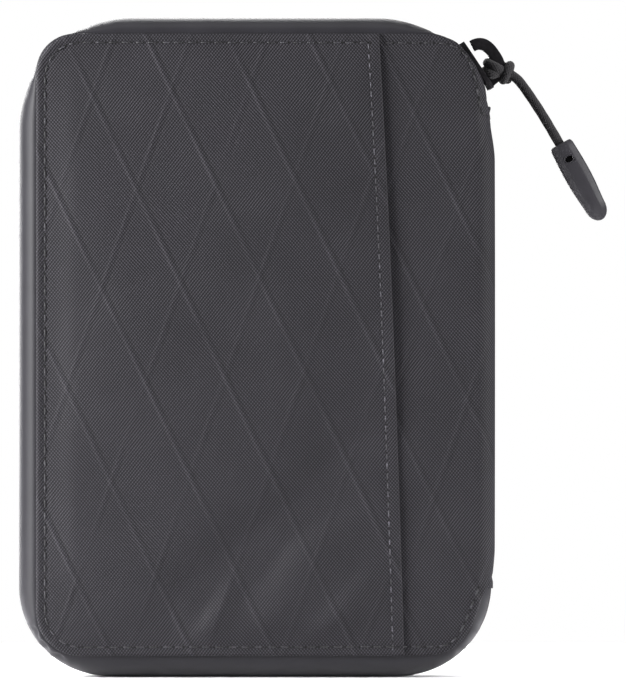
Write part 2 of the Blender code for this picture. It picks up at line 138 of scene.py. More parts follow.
def grid_faces(rows, columns, start=0):
    return [
        (start + r * columns + c, start + r * columns + c + 1,
         start + (r + 1) * columns + c + 1, start + (r + 1) * columns + c)
        for r in range(rows - 1) for c in range(columns - 1)
    ]


def thick_sheet(name, grid, uv, thickness, look, body=None, outwards=None, skip=None):
    """A cloth sheet from a grid of outer points, with its inner face and a closed rim.

    skip marks the cells that are left out.
    """
    grid = np.asarray(grid, float)
    rows, columns = grid.shape[:2]
    across = np.gradient(grid, axis=1)
    along = np.gradient(grid, axis=0)
    normals = np.cross(across, along)
    normals /= np.maximum(np.linalg.norm(normals, axis=2, keepdims=True), 1e-9)
    middle = normals[rows // 2, columns // 3]
    if np.dot(middle, outwards) < 0:
        normals = -normals
    inner = grid - normals * thickness
    verts = np.concatenate([grid.reshape(-1, 3), inner.reshape(-1, 3)])
    count = rows * columns
    cells = grid_faces(rows, columns)
    if skip is not None:
        cells = [face for face, out in zip(cells, skip.ravel()) if not out]
    faces = cells + [tuple(i + count for i in reversed(face)) for face in cells]
    edges = {(a, b) for face in cells for a, b in zip(face, face[1:] + face[:1])}
    faces += [(b, a, a + count, b + count) for a, b in sorted(edges) if (b, a) not in edges]
    uv = np.asarray(uv, float).reshape(-1, 2)
    return add_piece(name, verts, faces, look, body, np.concatenate([uv, uv]))


def ring_faces(rings, size, closed=False):
    """Faces that join rings of points in turn; open ends get caps."""
    faces = []
    for r in range(rings if closed else rings - 1):
        p, q = r * size, (r + 1) % rings * size
        faces += [(p + i, p + (i + 1) % size, q + (i + 1) % size, q + i) for i in range(size)]
    if not closed:
        faces += [tuple(range(size))[::-1], tuple(range((rings - 1) * size, rings * size))]
    return faces


def tube_mesh(path, section, closed=False):
    """Verts and faces of a section swept along frames (centre, axis_a, axis_b)."""
    verts = []
    for centre, a, b in path:
        verts += [np.asarray(centre) + np.asarray(a) * s + np.asarray(b) * t for s, t in section]
    return verts, ring_faces(len(path), len(section), closed)


def merge(parts):
    """Several (verts, faces) as one."""
    verts, faces = [], []
    for part_verts, part_faces in parts:
        start = len(verts)
        verts += list(part_verts)
        faces += [tuple(i + start for i in f) for f in part_faces]
    return verts, faces


def ellipse(half_width, half_height, sides):
    turns = [2 * PI * i / sides for i in range(sides)]
    return [(half_width * math.cos(t), half_height * math.sin(t)) for t in turns]


def path_frames(points, up=(0, 1, 0)):
    """Frames along a 3-D path that turn with it as little as possible."""
    points = [np.asarray(p, float) for p in points]
    tangents = [points[min(i + 1, len(points) - 1)] - points[max(i - 1, 0)]
                for i in range(len(points))]
    tangents = [t / np.linalg.norm(t) for t in tangents]
    side = np.cross(np.asarray(up, float), tangents[0])
    if np.linalg.norm(side) < 1e-3:
        side = np.cross(np.array([1.0, 0.3, 0.2]), tangents[0])
    frames = []
    for point, tangent in zip(points, tangents):
        side = side - tangent * np.dot(side, tangent)
        side /= np.linalg.norm(side)
        frames.append((point, side, np.cross(tangent, side)))
    return frames


def resampled(points, step):
    """Points about step apart along a polyline, and the whole length."""
    points = np.asarray(points, float)
    lengths = np.concatenate([[0], np.cumsum(np.linalg.norm(np.diff(points, axis=0), axis=1))])
    count = max(2, int(round(lengths[-1] / step)) + 1)
    wanted = np.linspace(0, lengths[-1], count)
    return np.stack([np.interp(wanted, lengths, points[:, k])
                     for k in range(points.shape[1])], axis=1), lengths[-1]


def smooth_curve(points, steps=8):
    """A Catmull-Rom curve through the points."""
    p = [np.asarray(q, float) for q in points]
    p = [2 * p[0] - p[1], *p, 2 * p[-1] - p[-2]]
    found = []
    for i in range(1, len(p) - 2):
        for k in range(steps):
            t = k / steps
            found.append(0.5 * ((2 * p[i]) + (p[i + 1] - p[i - 1]) * t
                                + (2 * p[i - 1] - 5 * p[i] + 4 * p[i + 1] - p[i + 2]) * t * t
                                + (3 * p[i] - p[i - 1] - 3 * p[i + 1] + p[i + 2]) * t ** 3))
    return found + [p[-2]]


def add_bevel(piece, width, segments=3, angle=35):
    modifier = piece.modifiers.new("bevel", "BEVEL")
    modifier.width = width * MM
    modifier.segments = segments
    modifier.limit_method = "ANGLE"
    modifier.angle_limit = math.radians(angle)
    modifier.harden_normals = False


def bake_modifiers(piece):
    """Replaces a piece's mesh with what its modifiers make of it."""
    bpy.context.view_layer.update()
    graph = bpy.context.evaluated_depsgraph_get()
    made = bpy.data.meshes.new_from_object(piece.evaluated_get(graph))
    piece.modifiers.clear()
    piece.data = made


# ---- materials ----


class Nodes:
    """Short calls for building one material's node tree."""

    def __init__(self, name, roughness=0.6, metallic=0.0):
        self.material = bpy.data.materials.new(name)
        self.material.use_nodes = True
        self.tree = self.material.node_tree
        self.shader = self.tree.nodes["Principled BSDF"]
        self.shader.inputs["Roughness"].default_value = roughness
        self.shader.inputs["Metallic"].default_value = metallic

    def link(self, value, socket):
        if isinstance(value, (int, float)):
            socket.default_value = value
        else:
            self.tree.links.new(value, socket)

    def math(self, operation, a, b=0.0, clamp=False):
        node = self.tree.nodes.new("ShaderNodeMath")
        node.operation = operation
        node.use_clamp = clamp
        self.link(a, node.inputs[0])
        self.link(b, node.inputs[1])
        return node.outputs[0]

    def plus(self, a, b, clamp=False):
        return self.math("ADD", a, b, clamp)

    def minus(self, a, b, clamp=False):
        return self.math("SUBTRACT", a, b, clamp)

    def times(self, a, b):
        return self.math("MULTIPLY", a, b)

    def cloth(self):
        """(u, v) in millimetres on the cloth, and the vector itself."""
        read = self.tree.nodes.new("ShaderNodeAttribute")
        read.attribute_name = "cloth_mm"
        split = self.tree.nodes.new("ShaderNodeSeparateXYZ")
        self.tree.links.new(read.outputs["Vector"], split.inputs[0])
        return split.outputs[0], split.outputs[1], read.outputs["Vector"]

    def object_mm(self):
        """The point's own place in millimetres, and the vector itself."""
        place = self.tree.nodes.new("ShaderNodeTexCoord")
        scale = self.tree.nodes.new("ShaderNodeVectorMath")
        scale.operation = "SCALE"
        scale.inputs["Scale"].default_value = 1 / MM
        self.tree.links.new(place.outputs["Object"], scale.inputs[0])
        split = self.tree.nodes.new("ShaderNodeSeparateXYZ")
        self.tree.links.new(scale.outputs[0], split.inputs[0])
        return split.outputs, scale.outputs[0]

    def noise(self, vector, scale, detail=2.0, roughness=0.5):
        node = self.tree.nodes.new("ShaderNodeTexNoise")
        node.inputs["Scale"].default_value = scale
        node.inputs["Detail"].default_value = detail
        node.inputs["Roughness"].default_value = roughness
        self.tree.links.new(vector, node.inputs["Vector"])
        return node.outputs[0]

    def ramp(self, value, stops):
        node = self.tree.nodes.new("ShaderNodeValToRGB")
        self.link(value, node.inputs[0])
        elements = node.color_ramp.elements
        while len(elements) < len(stops):
            elements.new(0.5)
        for element, (position, colour) in zip(elements, stops):
            element.position = position
            element.color = (*colour, 1.0)
        return node.outputs[0]

    def bump(self, height, distance_mm, strength=1.0, below=None):
        node = self.tree.nodes.new("ShaderNodeBump")
        node.inputs["Distance"].default_value = distance_mm * MM
        node.inputs["Strength"].default_value = strength
        self.link(height, node.inputs["Height"])
        if below is not None:
            self.tree.links.new(below, node.inputs["Normal"])
        return node.outputs[0]

    def finish(self, colour=None, roughness=None, normal=None, **constants):
        if colour is not None:
            self.tree.links.new(colour, self.shader.inputs["Base Color"])
        if roughness is not None:
            self.tree.links.new(roughness, self.shader.inputs["Roughness"])
        if normal is not None:
            self.tree.links.new(normal, self.shader.inputs["Normal"])
        for name, value in constants.items():
            self.shader.inputs[name.replace("_", " ")].default_value = value
        return self.material


def grey(level, warm=0.0):
    """A charcoal of the given linear level, slightly cool unless warm."""
    return (level * (1.0 + warm), level * 0.955, level * (1.16 - warm))


def checker_weave(n, u, v, cell):
    """Raised where warp or weft lies on top; it leans to one diagonal or the other in patches."""
    along = n.plus(u, n.times(v, 0.05))
    across = n.minus(v, n.times(u, 0.04))
    warp = n.math("SINE", n.times(along, PI / cell))
    weft = n.math("SINE", n.times(across, PI / (cell * 1.16)))
    square = n.times(warp, weft)
    place = n.noise(n.cloth()[2], 0.045, 2.0)
    lean = n.times(n.minus(place, 0.45), 3.2)
    lean = n.math("MAXIMUM", n.math("MINIMUM", lean, 0.75), -0.5)
    warp = n.math("COSINE", n.times(along, PI / cell))
    weft = n.math("COSINE", n.times(across, PI / (cell * 1.16)))
    diagonal = n.times(warp, weft)
    return n.plus(square, n.times(diagonal, lean))


WEAVE_CELL = 0.359
PLY_WIDTH = 0.60
PLY_SHADE_SHIFT = 1.2
STRONG_PLY = (2.125, 17.95)
FAINT_PLY = (-2.85, 16.95)


def ply_line(n, u, v, slope, spacing, offset, width):
    """1 on a set of slanting ply yarns, falling to 0 within width of them."""
    along = n.plus(u, n.math("DIVIDE", v, slope))
    phase = n.math("DIVIDE", n.minus(along, offset), spacing)
    away = n.math("PINGPONG", phase, 0.5)
    lean = abs(slope) / math.hypot(slope, 1.0)
    near = n.minus(1.0, n.times(away, spacing * lean / width), clamp=True)
    return n.math("POWER", near, 1.4)


def ply_and_painted_shade(n, u, v, slope, spacing, offset, width):
    """A ply yarn, with a painted highlight on its lit side, less a painted shade line that lies a little
    further on.
    """
    lit = ply_line(n, u, v, slope, spacing, offset, width)
    # A painted shade line beside the ply; it also dips the film's bump.
    painted_shade = ply_line(n, u, v, slope, spacing, offset + PLY_SHADE_SHIFT, width * 1.3)
    return n.minus(lit, n.times(painted_shade, 0.75))


def laminate(name, offset_a, offset_b):
    """Laminated ripstop: a fine weave over a film, with diamond plies showing through, each with a painted
    highlight and a painted shade line beside it.
    """
    n = Nodes(name, roughness=0.6)
    u, v, place = n.cloth()
    weave = checker_weave(n, u, v, WEAVE_CELL)
    raised = n.plus(0.5, n.times(weave, 0.5))
    strong = ply_and_painted_shade(n, u, v, *STRONG_PLY, offset_a, PLY_WIDTH)
    faint = ply_and_painted_shade(n, u, v, *FAINT_PLY, offset_b, PLY_WIDTH)
    patchy = n.noise(place, 0.06, 3.0)
    fuzz = n.noise(place, 2.4, 3.0, 0.7)
    fade = n.minus(n.times(patchy, 2.6), 0.75, clamp=True)
    strong = n.times(strong, n.plus(0.25, fade))
    faint = n.times(faint, n.minus(1.15, fade))
    tone = n.plus(n.times(raised, 0.72), n.times(fuzz, 0.20))
    tone = n.plus(tone, n.times(patchy, 0.10))
    # The plies' tone carries painted highlight and painted shade beside the real yarn lines.
    tone = n.plus(tone, n.times(strong, 0.105))
    tone = n.plus(tone, n.times(faint, 0.055))
    colour = n.ramp(tone, [(0.18, grey(0.003)), (0.5, grey(0.020)), (0.95, grey(0.100, 0.02))])
    rough = n.plus(0.57, n.times(fuzz, 0.2))
    film = n.bump(n.plus(strong, n.times(faint, 0.8)), 0.10)
    normal = n.bump(raised, 0.05, below=film)
    return n.finish(colour, rough, normal, Specular_IOR_Level=0.28)


def coated_tape(name):
    """Zip tape under a smooth satin coating."""
    n = Nodes(name, roughness=0.4)
    _, vector = n.object_mm()
    cloudy = n.noise(vector, 0.12, 3.0)
    grain = n.noise(vector, 3.2, 2.0, 0.6)
    tone = n.plus(n.times(cloudy, 0.6), n.times(grain, 0.4))
    colour = n.ramp(tone, [(0.25, grey(0.022)), (0.75, grey(0.034))])
    rough = n.plus(0.42, n.times(grain, 0.16))
    normal = n.bump(grain, 0.012)
    return n.finish(colour, rough, normal, Specular_IOR_Level=0.30)


def plain_weave(name, dark, light, cell, fuzz_amount=0.3):
    n = Nodes(name, roughness=0.75)
    u, v, place = n.cloth()
    raised = n.plus(0.5, n.times(checker_weave(n, u, v, cell), 0.5))
    fuzz = n.noise(place, 1.5, 3.0, 0.7)
    tone = n.plus(n.times(raised, 1 - fuzz_amount),
                  n.times(fuzz, fuzz_amount))
    colour = n.ramp(tone, [(0.1, grey(dark)), (0.9, grey(light))])
    rough = n.plus(0.62, n.times(fuzz, 0.25))
    return n.finish(colour, rough, n.bump(raised, 0.05), Sheen_Weight=0.15)


RIB_PITCH = 0.55
STRAND_PITCH = 0.57


def grosgrain(name, level):
    """Ribbed binding tape: ribs run across the tape."""
    n = Nodes(name, roughness=0.8)
    u, _, place = n.cloth()
    ribs = n.math("SINE", n.times(u, 2 * PI / RIB_PITCH))
    rib = n.plus(0.5, n.times(ribs, 0.5))
    fuzz = n.noise(place, 3.0, 2.0)
    tone = n.plus(n.times(rib, 0.7), n.times(fuzz, 0.3))
    colour = n.ramp(tone, [(0.1, grey(level * 0.6)), (0.9, grey(level * 1.3))])
    return n.finish(colour, n.plus(0.7, n.times(fuzz, 0.2)), n.bump(rib, 0.07))


def thread(name, level):
    """Twisted sewing thread; the twist runs round each stitch, and bright noise specks in its colour are
    painted glints.
    """
    n = Nodes(name, roughness=0.5)
    (x, y, z), vector = n.object_mm()
    twist = n.math("SINE", n.times(n.plus(n.plus(x, z), y), 14.0))
    # Painted glints: noise lifts the colour to bright specks.
    painted_glint = n.times(n.minus(n.noise(vector, 0.8, 2.0), 0.5), 2.2)
    tone = n.plus(n.plus(0.42, n.times(twist, 0.22)), painted_glint)
    colour = n.ramp(tone, [(0.0, grey(level * 0.4)), (0.6, grey(level * 1.3)),
                           (1.0, grey(level * 4.0))])
    rough = n.plus(0.4, n.times(n.noise(vector, 4.0), 0.25))
    return n.finish(colour, rough, n.bump(tone, 0.03), Specular_IOR_Level=0.6)


def speckled(name, roughness, noise, dark, light, rough, gain, relief):
    """A plain material whose colour, gloss and relief all follow one noise."""
    n = Nodes(name, roughness)
    _, vector = n.object_mm()
    speck = n.noise(vector, *noise)
    return n.finish(n.ramp(speck, [(0.3, grey(dark)), (0.8, grey(light))]),
                    n.plus(rough, n.times(speck, gain)), n.bump(speck, relief))


def blackened_metal(name):
    """Die-cast zinc with a black coating, rubbed a little brighter where it is worn."""
    n = Nodes(name, roughness=0.36, metallic=0.55)
    _, vector = n.object_mm()
    cast = n.noise(vector, 1.8, 4.0, 0.6)
    rub = n.noise(vector, 0.45, 2.0)
    tone = n.plus(n.times(cast, 0.5), n.times(rub, 0.5))
    colour = n.ramp(tone, [(0.3, (0.010, 0.009, 0.011)), (0.75, (0.034, 0.031, 0.036))])
    rough = n.plus(0.28, n.times(cast, 0.26))
    return n.finish(colour, rough, n.bump(cast, 0.02))


def moulded(name, level):
    """Matte moulded rubber with a fine spark-eroded grain."""
    n = Nodes(name, roughness=0.5)
    _, vector = n.object_mm()
    grain = n.noise(vector, 6.0, 3.0, 0.6)
    cloudy = n.noise(vector, 0.3, 2.0)
    tone = n.plus(n.times(grain, 0.5), n.times(cloudy, 0.5))
    colour = n.ramp(tone, [(0.3, grey(level * 0.85)), (0.75, grey(level * 1.2, 0.02))])
    rough = n.plus(0.38, n.times(grain, 0.22))
    return n.finish(colour, rough, n.bump(grain, 0.025), Specular_IOR_Level=0.5)


def braid(name):
    """Braided cord: strands cross in diamonds. u runs along the cord and v round it."""
    n = Nodes(name, roughness=0.72)
    u, v, place = n.cloth()
    one = n.math("SINE", n.times(n.plus(u, v), 2 * PI / STRAND_PITCH))
    two = n.math("SINE", n.times(n.minus(u, v), 2 * PI / STRAND_PITCH))
    strands = n.math("MAXIMUM", one, two)
    raised = n.plus(0.5, n.times(strands, 0.5))
    fuzz = n.noise(place, 3.0, 3.0, 0.7)
    tone = n.plus(n.times(raised, 0.7), n.times(fuzz, 0.3))
    colour = n.ramp(tone, [(0.15, grey(0.004, 0.03)), (0.95, grey(0.032, 0.05))])
    rough = n.plus(0.6, n.times(fuzz, 0.25))
    return n.finish(colour, rough, n.bump(raised, 0.12), Sheen_Weight=0.2)


LOOKS = {
    "pocket_cloth": laminate("laminate_slip_pocket", 24.2, -30.35),
    "cover_cloth": laminate("laminate_cover", 21.4, -26.0),
    "back_cloth": laminate("laminate_back", 12.0, -20.0),
    "tape": coated_tape("coated_zip_tape"),
    "lining": plain_weave("lining_weave", 0.075, 0.15, 0.22),
    "slot": plain_weave("slot_weave", 0.05, 0.105, 0.25),
    "binding": grosgrain("binding_grosgrain", 0.03),
    "seam_thread": thread("seam_thread", 0.019),
    "hem_thread": thread("hem_thread", 0.050),
    # Near black: painted shade in the needle holes.
    "hole": speckled("needle_hole_painted_shade", 0.9, (5.0,), 0.004, 0.014, 0.8, 0.15, 0.02),
    "metal": blackened_metal("blackened_zinc"),
    "coil": speckled("nylon_coil", 0.35, (3.0, 2.0), 0.016, 0.034, 0.28, 0.2, 0.02),
    "tab": moulded("moulded_tab", 0.043),
    "cord": braid("braided_cord"),
    "foam": speckled("foam_board", 0.9, (2.5, 4.0, 0.7), 0.015, 0.04, 0.8, 0.15, 0.08),
}


# ---- the shell: covers and spine ----


def left_edge(z):
    """The panels' left outline, with rounded corners."""
    r = PANEL_RADIUS
    drop = np.maximum(np.maximum(z - (TOP - r), (BOTTOM + r) - z), 0.0)
    return LEFT + r - np.sqrt(np.maximum(r * r - drop * drop, 0.0))


def around_roll(x):
    """Cloth coordinate of the point that is seen at x, on the cover or on the roll."""
    turn = np.arcsin(np.clip((np.asarray(x, float) - ROLL_X) / ROLL_RADIUS, 0.0, 1.0))
    return np.minimum(x, ROLL_X) + ROLL_RADIUS * turn


# The covers' right corners as (seen x, z), from the straight edge to the spine's end.
TOP_CORNER = ((34.0, 142.1), (39.5, 141.8), (42.3, 141.1), (44.3, 140.1), (45.7, 138.7),
              (47.2, 136.9), (49.1, 134.0), (50.7, 131.6), (51.45, 129.8), (51.65, 128.0),
              (51.7, 126.0), (51.8, 123.0))
BOTTOM_CORNER = ((34.0, 4.9), (38.0, 5.0), (41.0, 5.5), (43.6, 6.7), (45.8, 8.8),
                 (47.5, 11.6), (48.8, 14.6), (50.0, 17.4), (51.0, 19.2), (51.6, 21.5))


def corner_curve(corner):
    return np.array(smooth_curve([(float(around_roll(x)), z) for x, z in corner], 6))


TOP_CURVE, BOTTOM_CURVE = corner_curve(TOP_CORNER), corner_curve(BOTTOM_CORNER)
FULL_WIDTH = ROLL_X + ROLL_LENGTH + ROLL_Y


def right_edge(z):
    """The covers' right outline in cloth coordinates: corners, then the middle of the spine."""
    high = np.interp(z, TOP_CURVE[::-1, 1], TOP_CURVE[::-1, 0])
    low = np.interp(z, BOTTOM_CURVE[:, 1], BOTTOM_CURVE[:, 0])
    return np.where(z > SPINE_END_TOP, high, np.where(z < SPINE_END_BOTTOM, low, FULL_WIDTH))


def curve_distance(s, z, curve):
    """Distance to the nearest of the curve's segments."""
    start, step = curve[:-1], np.diff(curve, axis=0)
    ds = np.asarray(s, float)[..., None] - start[:, 0]
    dz = np.asarray(z, float)[..., None] - start[:, 1]
    t = np.clip((ds * step[:, 0] + dz * step[:, 1]) / (step ** 2).sum(1), 0, 1)
    return np.min(np.hypot(ds - t * step[:, 0], dz - t * step[:, 1]), axis=-1)


def corner_distance(s, z):
    """Distance inside the panel's outline, over its left, top and bottom edges and corners."""
    r = PANEL_RADIUS
    cx = np.maximum(LEFT + r - s, 0.0)
    cz = np.maximum(np.maximum(z - (TOP - r), BOTTOM + r - z), 0.0)
    rounded = r - np.hypot(cx, cz)
    straight = np.minimum(s - LEFT, np.minimum(TOP - z, z - BOTTOM))
    left = np.where((cx > 0) & (cz > 0), rounded, straight)
    near_top = curve_distance(s, z, TOP_CURVE)
    near_bottom = curve_distance(s, z, BOTTOM_CURVE)
    left = np.where(z > 115.0, np.minimum(left, near_top), left)
    return np.where(z < 28.0, np.minimum(left, near_bottom), left)


def spine_drop(z):
    """How far the roll and the spine sink towards their hemmed ends."""
    high = 1.15 * smoothstep(SPINE_END_TOP - 12, SPINE_END_TOP - 1.0, z)
    pinch = 0.35 * np.exp(-((z - SPINE_END_TOP + 1.9) / 0.5) ** 2)
    high_lip = -0.12 * np.exp(-((z - SPINE_END_TOP + 0.7) / 0.5) ** 2)
    low = 0.60 * smoothstep(SPINE_END_BOTTOM + 9, SPINE_END_BOTTOM, z)
    low_pinch = 0.28 * np.exp(-((z - SPINE_END_BOTTOM - 2.6) / 0.45) ** 2)
    bow = -0.12 * np.sin(PI * np.clip((z - 20) / 104, 0, 1))
    return high + pinch + high_lip + low + low_pinch + bow


def shell_point(s, z, height, side):
    """Cloth coordinates onto the cover, the roll and the spine; height is out of the cloth."""
    s, z, height = np.broadcast_arrays(s, z, height)
    turn = np.clip((s - ROLL_X) / ROLL_RADIUS, 0.0, PI / 2)
    past = np.maximum(s - ROLL_X - ROLL_LENGTH, 0.0)
    flat = np.minimum(s, ROLL_X)
    radius = ROLL_RADIUS + height - spine_drop(z) * np.sin(turn)
    x = np.where(s <= ROLL_X, flat, ROLL_X + radius * np.sin(turn))
    y = np.where(s <= ROLL_X, COVER_Y + height, ROLL_Y + radius * np.cos(turn))
    y = np.where(past > 0, ROLL_Y - past, y)
    return np.stack([x, side * y, z], axis=-1)


def edge_round(distance, radius=0.55):
    """Sinks the cloth where it turns under at its edge."""
    t = np.clip(1 - distance / radius, 0, 1)
    return -radius * (1 - np.sqrt(np.maximum(1 - t * t, 0)))


def seam_press(distance, run):
    """The topstitching pulls the cloth in along its line, a little more at each stitch."""
    line = np.exp(-((distance - SEAM_INSET) / 0.75) ** 2)
    pulse = 0.75 + 0.25 * np.cos(2 * PI * run / STITCH_PITCH)
    return -0.20 * line * pulse


def crease(x, z, start, end, width, depth):
    """A soft ridge (or valley) along a line, fading at its ends."""
    start, end = np.array(start), np.array(end)
    direction = end - start
    length = np.linalg.norm(direction)
    direction = direction / length
    px, pz = x - start[0], z - start[1]
    along = px * direction[0] + pz * direction[1]
    across = -px * direction[1] + pz * direction[0]
    fade = smoothstep(-0.1 * length, 0.3 * length, along)
    fade = fade * smoothstep(1.1 * length, 0.7 * length, along)
    return depth * fade * np.exp(-((across / width) ** 2))


# The slip pocket's folds: from (x, z), to (x, z), half width and height above the cloth.
FOLDS = (
    ((-22, 9), (30, 53), 7.5, -2.5),
    ((-13, 5), (-3, 27), 3.2, 1.3),
    ((11, 6), (30, 27), 3.2, 1.0),
    ((4, 24), (27, 42), 4.5, 0.80),
    ((-2, 6), (8, 20), 3.0, 0.20),
    ((17, 118), (27, 138), 3.5, 0.25),
    ((-16, 116), (-4, 140), 6.0, 0.20),
    ((-44, 40), (-24, 84), 9.0, 0.22),
    ((-10, 70), (20, 104), 9.0, -0.18),
)


def front_wrinkles(x, z):
    """Soft creases of the slip pocket, strongest low down towards the mouth."""
    folds = sum(crease(x, z, *fold) for fold in FOLDS)
    slow = 0.12 * np.sin(x / 9.0 + 1.3) * np.sin(z / 17.0 + 0.4)
    inwards = x - left_edge(z)
    pillow = 2.1 * (1 - np.exp(-np.maximum(inwards, 0) / 10.0))
    pillow = pillow * np.sin(PI * np.clip((z - BOTTOM) / BULGE_HEIGHT, 0, 1)) ** 0.4
    pillow = pillow * smoothstep(32.0, 4.0, x)
    return folds + slow + pillow + 0.05 * np.sin(x / 4.1 + z / 6.3)


def mouth_edge(z):
    """The slip pocket's slanting, slightly bowed mouth."""
    t = (z - BOTTOM) / (TOP - BOTTOM)
    return 32.7 - 4.2 * t - 1.4 * t ** 3


def pocket_height(x, z):
    """Outer face of the slip pocket above the cover's own outer face."""
    edge = corner_distance(x, z)
    mouth = mouth_edge(z) - x
    lift = 0.62 + 0.35 * smoothstep(16, 0, mouth) * np.sin(PI * np.clip((z - BOTTOM) / BULGE_HEIGHT, 0, 1))
    hem = 0.16 * smoothstep(HEM_WIDTH + 0.5, HEM_WIDTH - 0.3, mouth)
    stitch = -0.14 * np.exp(-((mouth - HEM_WIDTH) / 0.45) ** 2)
    stitch = stitch * (0.8 + 0.2 * np.cos(2 * PI * z / HEM_PITCH))
    wrinkle = front_wrinkles(x, z) * smoothstep(1.0, 9.0, edge)
    lift = np.maximum(lift + wrinkle, 0.58)
    return lift + hem + stitch + seam_press(edge, x + z) + edge_round(mouth, 0.45)


def cover_height(s, z):
    """The cover's outer face over its flat place, with the hemmed ends of the spine."""
    edge = corner_distance(s, z)
    ends = np.minimum(np.abs(SPINE_END_TOP - z), np.abs(z - SPINE_END_BOTTOM))
    hem = 0.22 * smoothstep(3.0, 2.2, ends) * smoothstep(49.5, 51.5, s)
    slow = 0.07 * np.sin(s / 6.0) * np.sin(z / 14.0) * smoothstep(0, 8, edge)
    return slow + hem + seam_press(edge, s + z)


CLOTH_STEP = 1.15


def graded(length, step, fine=(0.0, 0.12, 0.28, 0.5, 0.8, 1.15, 1.5, 1.9, 2.3, 2.8, 3.5)):
    """Places along a length, close together at both ends."""
    middle = np.arange(fine[-1] + step, length - fine[-1] - step * 0.5, step)
    return np.concatenate([fine, middle, length - np.array(fine[::-1])])


def shell_rows(extra=()):
    """Heights of a cover's rows, with extra ones where its outline steps."""
    z = BOTTOM + graded(TOP - BOTTOM, CLOTH_STEP)
    return np.union1d(np.round(z, 3), np.round(np.array(extra, float), 3))


def shell_cover(name, side, look, nodes):
    """One cover with its half of the spine: a single cloth that folds at the spine's edge."""
    ends = [SPINE_END_TOP - 0.02, SPINE_END_TOP + 0.02, SPINE_END_BOTTOM - 0.02,
            SPINE_END_BOTTOM + 0.02]
    z = shell_rows(ends)
    columns = np.concatenate([graded(82.0, CLOTH_STEP)[:-11], np.arange(79.0, FULL_WIDTH - LEFT, 0.6),
                              [FULL_WIDTH - LEFT]]) + LEFT
    left, right = left_edge(z)[:, None], right_edge(z)[:, None]
    bend = np.clip((columns - LEFT) / 40.0, 0, 1)
    wanted = columns + (left - LEFT) * (1 - bend) * np.ones_like(right)
    s = np.minimum(wanted, right)
    zz = np.repeat(z[:, None], len(columns), axis=1)
    past = wanted >= right - 1e-9
    skip = (past[:-1, :-1] & past[:-1, 1:]) | (past[1:, :-1] & past[1:, 1:])
    both = past[:-1, :-1] & past[1:, :-1]
    stepped = np.abs(right[1:] - right[:-1]) > 3.0
    skip = np.where(stepped, skip, both)
    height = cover_height(s, zz) + edge_round(corner_distance(s, zz))
    grid = shell_point(s, zz, height, side)
    piece = thick_sheet(name, grid, np.stack([s, zz], -1), SHELL_THICKNESS, look, None,
                        (0, side, 0), skip)
    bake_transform(piece)
    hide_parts(*nodes)


def slip_pocket():
    """The front's outer pocket, a single cloth from the left edge to its slanting mouth."""
    z = shell_rows()
    fractions = graded(100.0, 1.3) / 100.0
    x = left_edge(z)[:, None] + (mouth_edge(z) - left_edge(z))[:, None] * fractions
    zz = np.repeat(z[:, None], len(fractions), axis=1)
    height = pocket_height(x, zz) + edge_round(corner_distance(x, zz), 0.7)
    grid = shell_point(x, zz, height, -1)
    piece = thick_sheet("slip_pocket_cloth", grid, np.stack([x, zz], -1), 0.5,
                        LOOKS["pocket_cloth"], "front_half", (0, -1, 0))
    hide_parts("front_slip_pocket")


shell_cover("front_cover_cloth", -1, LOOKS["cover_cloth"], ["front_cover_fabric"])
shell_cover("back_cover_cloth", 1, LOOKS["back_cloth"],
            ["back_cover_fabric", "spine_panel"])
slip_pocket()


# ---- stitching ----


def capsule(start, end, out, radius, sink):
    """One stitch: a short thread whose ends dive into the cloth."""
    start, end, out = (np.asarray(p, float) for p in (start, end, out))
    along = end - start
    length = np.linalg.norm(along)
    along = along / length
    side = np.cross(along, out)
    verts = []
    stops = ((0.0, -sink, 0.75), (0.18, 0.35, 1.0), (0.5, 0.6, 1.0), (0.82, 0.35, 1.0),
             (1.0, -sink, 0.75))
    for t, lift, scale in stops:
        centre = start + along * length * t + out * radius * lift
        verts += [centre + (side * c + out * d) * radius * scale for c, d in ellipse(1, 1, 6)]
    return verts, ring_faces(len(stops), 6)


def hole_disc(centre, out, along, radius):
    """A small dimple where the needle went in, drawn near black as painted shade in the hole."""
    centre, out, along = (np.asarray(p, float) for p in (centre, out, along))
    side = np.cross(along, out)
    verts = [centre + out * 0.02]
    for scale, lift in ((0.6, 0.035), (1.0, -0.05)):
        verts += [centre + (along * c + side * d) * radius * scale + out * lift
                  for c, d in ellipse(1.15, 1, 8)]
    verts.append(centre - out * 0.12)
    faces = [(0, 1 + i, 1 + (i + 1) % 8) for i in range(8)]
    faces += [(1 + i, 9 + i, 9 + (i + 1) % 8, 1 + (i + 1) % 8) for i in range(8)]
    faces += [(17, 9 + (i + 1) % 8, 9 + i) for i in range(8)]
    return verts, faces


def stitch_row(path, height_at, side, pitch, fill, radius):
    """Stitches and needle holes along a path of cloth coordinates."""
    points, length = resampled(path, 0.25)
    run = np.linspace(0, length, len(points))

    def at(distance):
        s, z = np.interp(distance, run, points[:, 0]), np.interp(distance, run, points[:, 1])
        return s, z

    def place(s, z, lift=0.0):
        return shell_point(s, z, height_at(np.array(s), np.array(z)) + lift, side)

    stitches, holes = [], []
    for k in range(int(length / pitch)):
        wander = 0.10 * math.sin(k * 2.4) + 0.06 * math.sin(k * 5.1 + 1.0)
        first = k * pitch + wander
        last = first + pitch * (fill + 0.05 * math.sin(k * 3.3))
        a, b = at(first), at(last)
        start, end = place(*a), place(*b)
        middle = at((first + last) / 2)
        out = place(*middle, lift=1.0) - place(*middle)
        out = out / np.linalg.norm(out)
        along = (end - start) / np.linalg.norm(end - start)
        stitches.append(capsule(start, end, out, radius, 0.9))
        for point, sign in ((start, -1), (end, 1)):
            holes.append(hole_disc(point + along * sign * radius * 0.9, out, along, radius * 1.8))
    return stitches, holes


def arc_points(centre, radius, start_deg, end_deg, count=10):
    angles = np.radians(np.linspace(start_deg, end_deg, count))
    return [(centre[0] + radius * math.cos(a), centre[1] + radius * math.sin(a)) for a in angles]


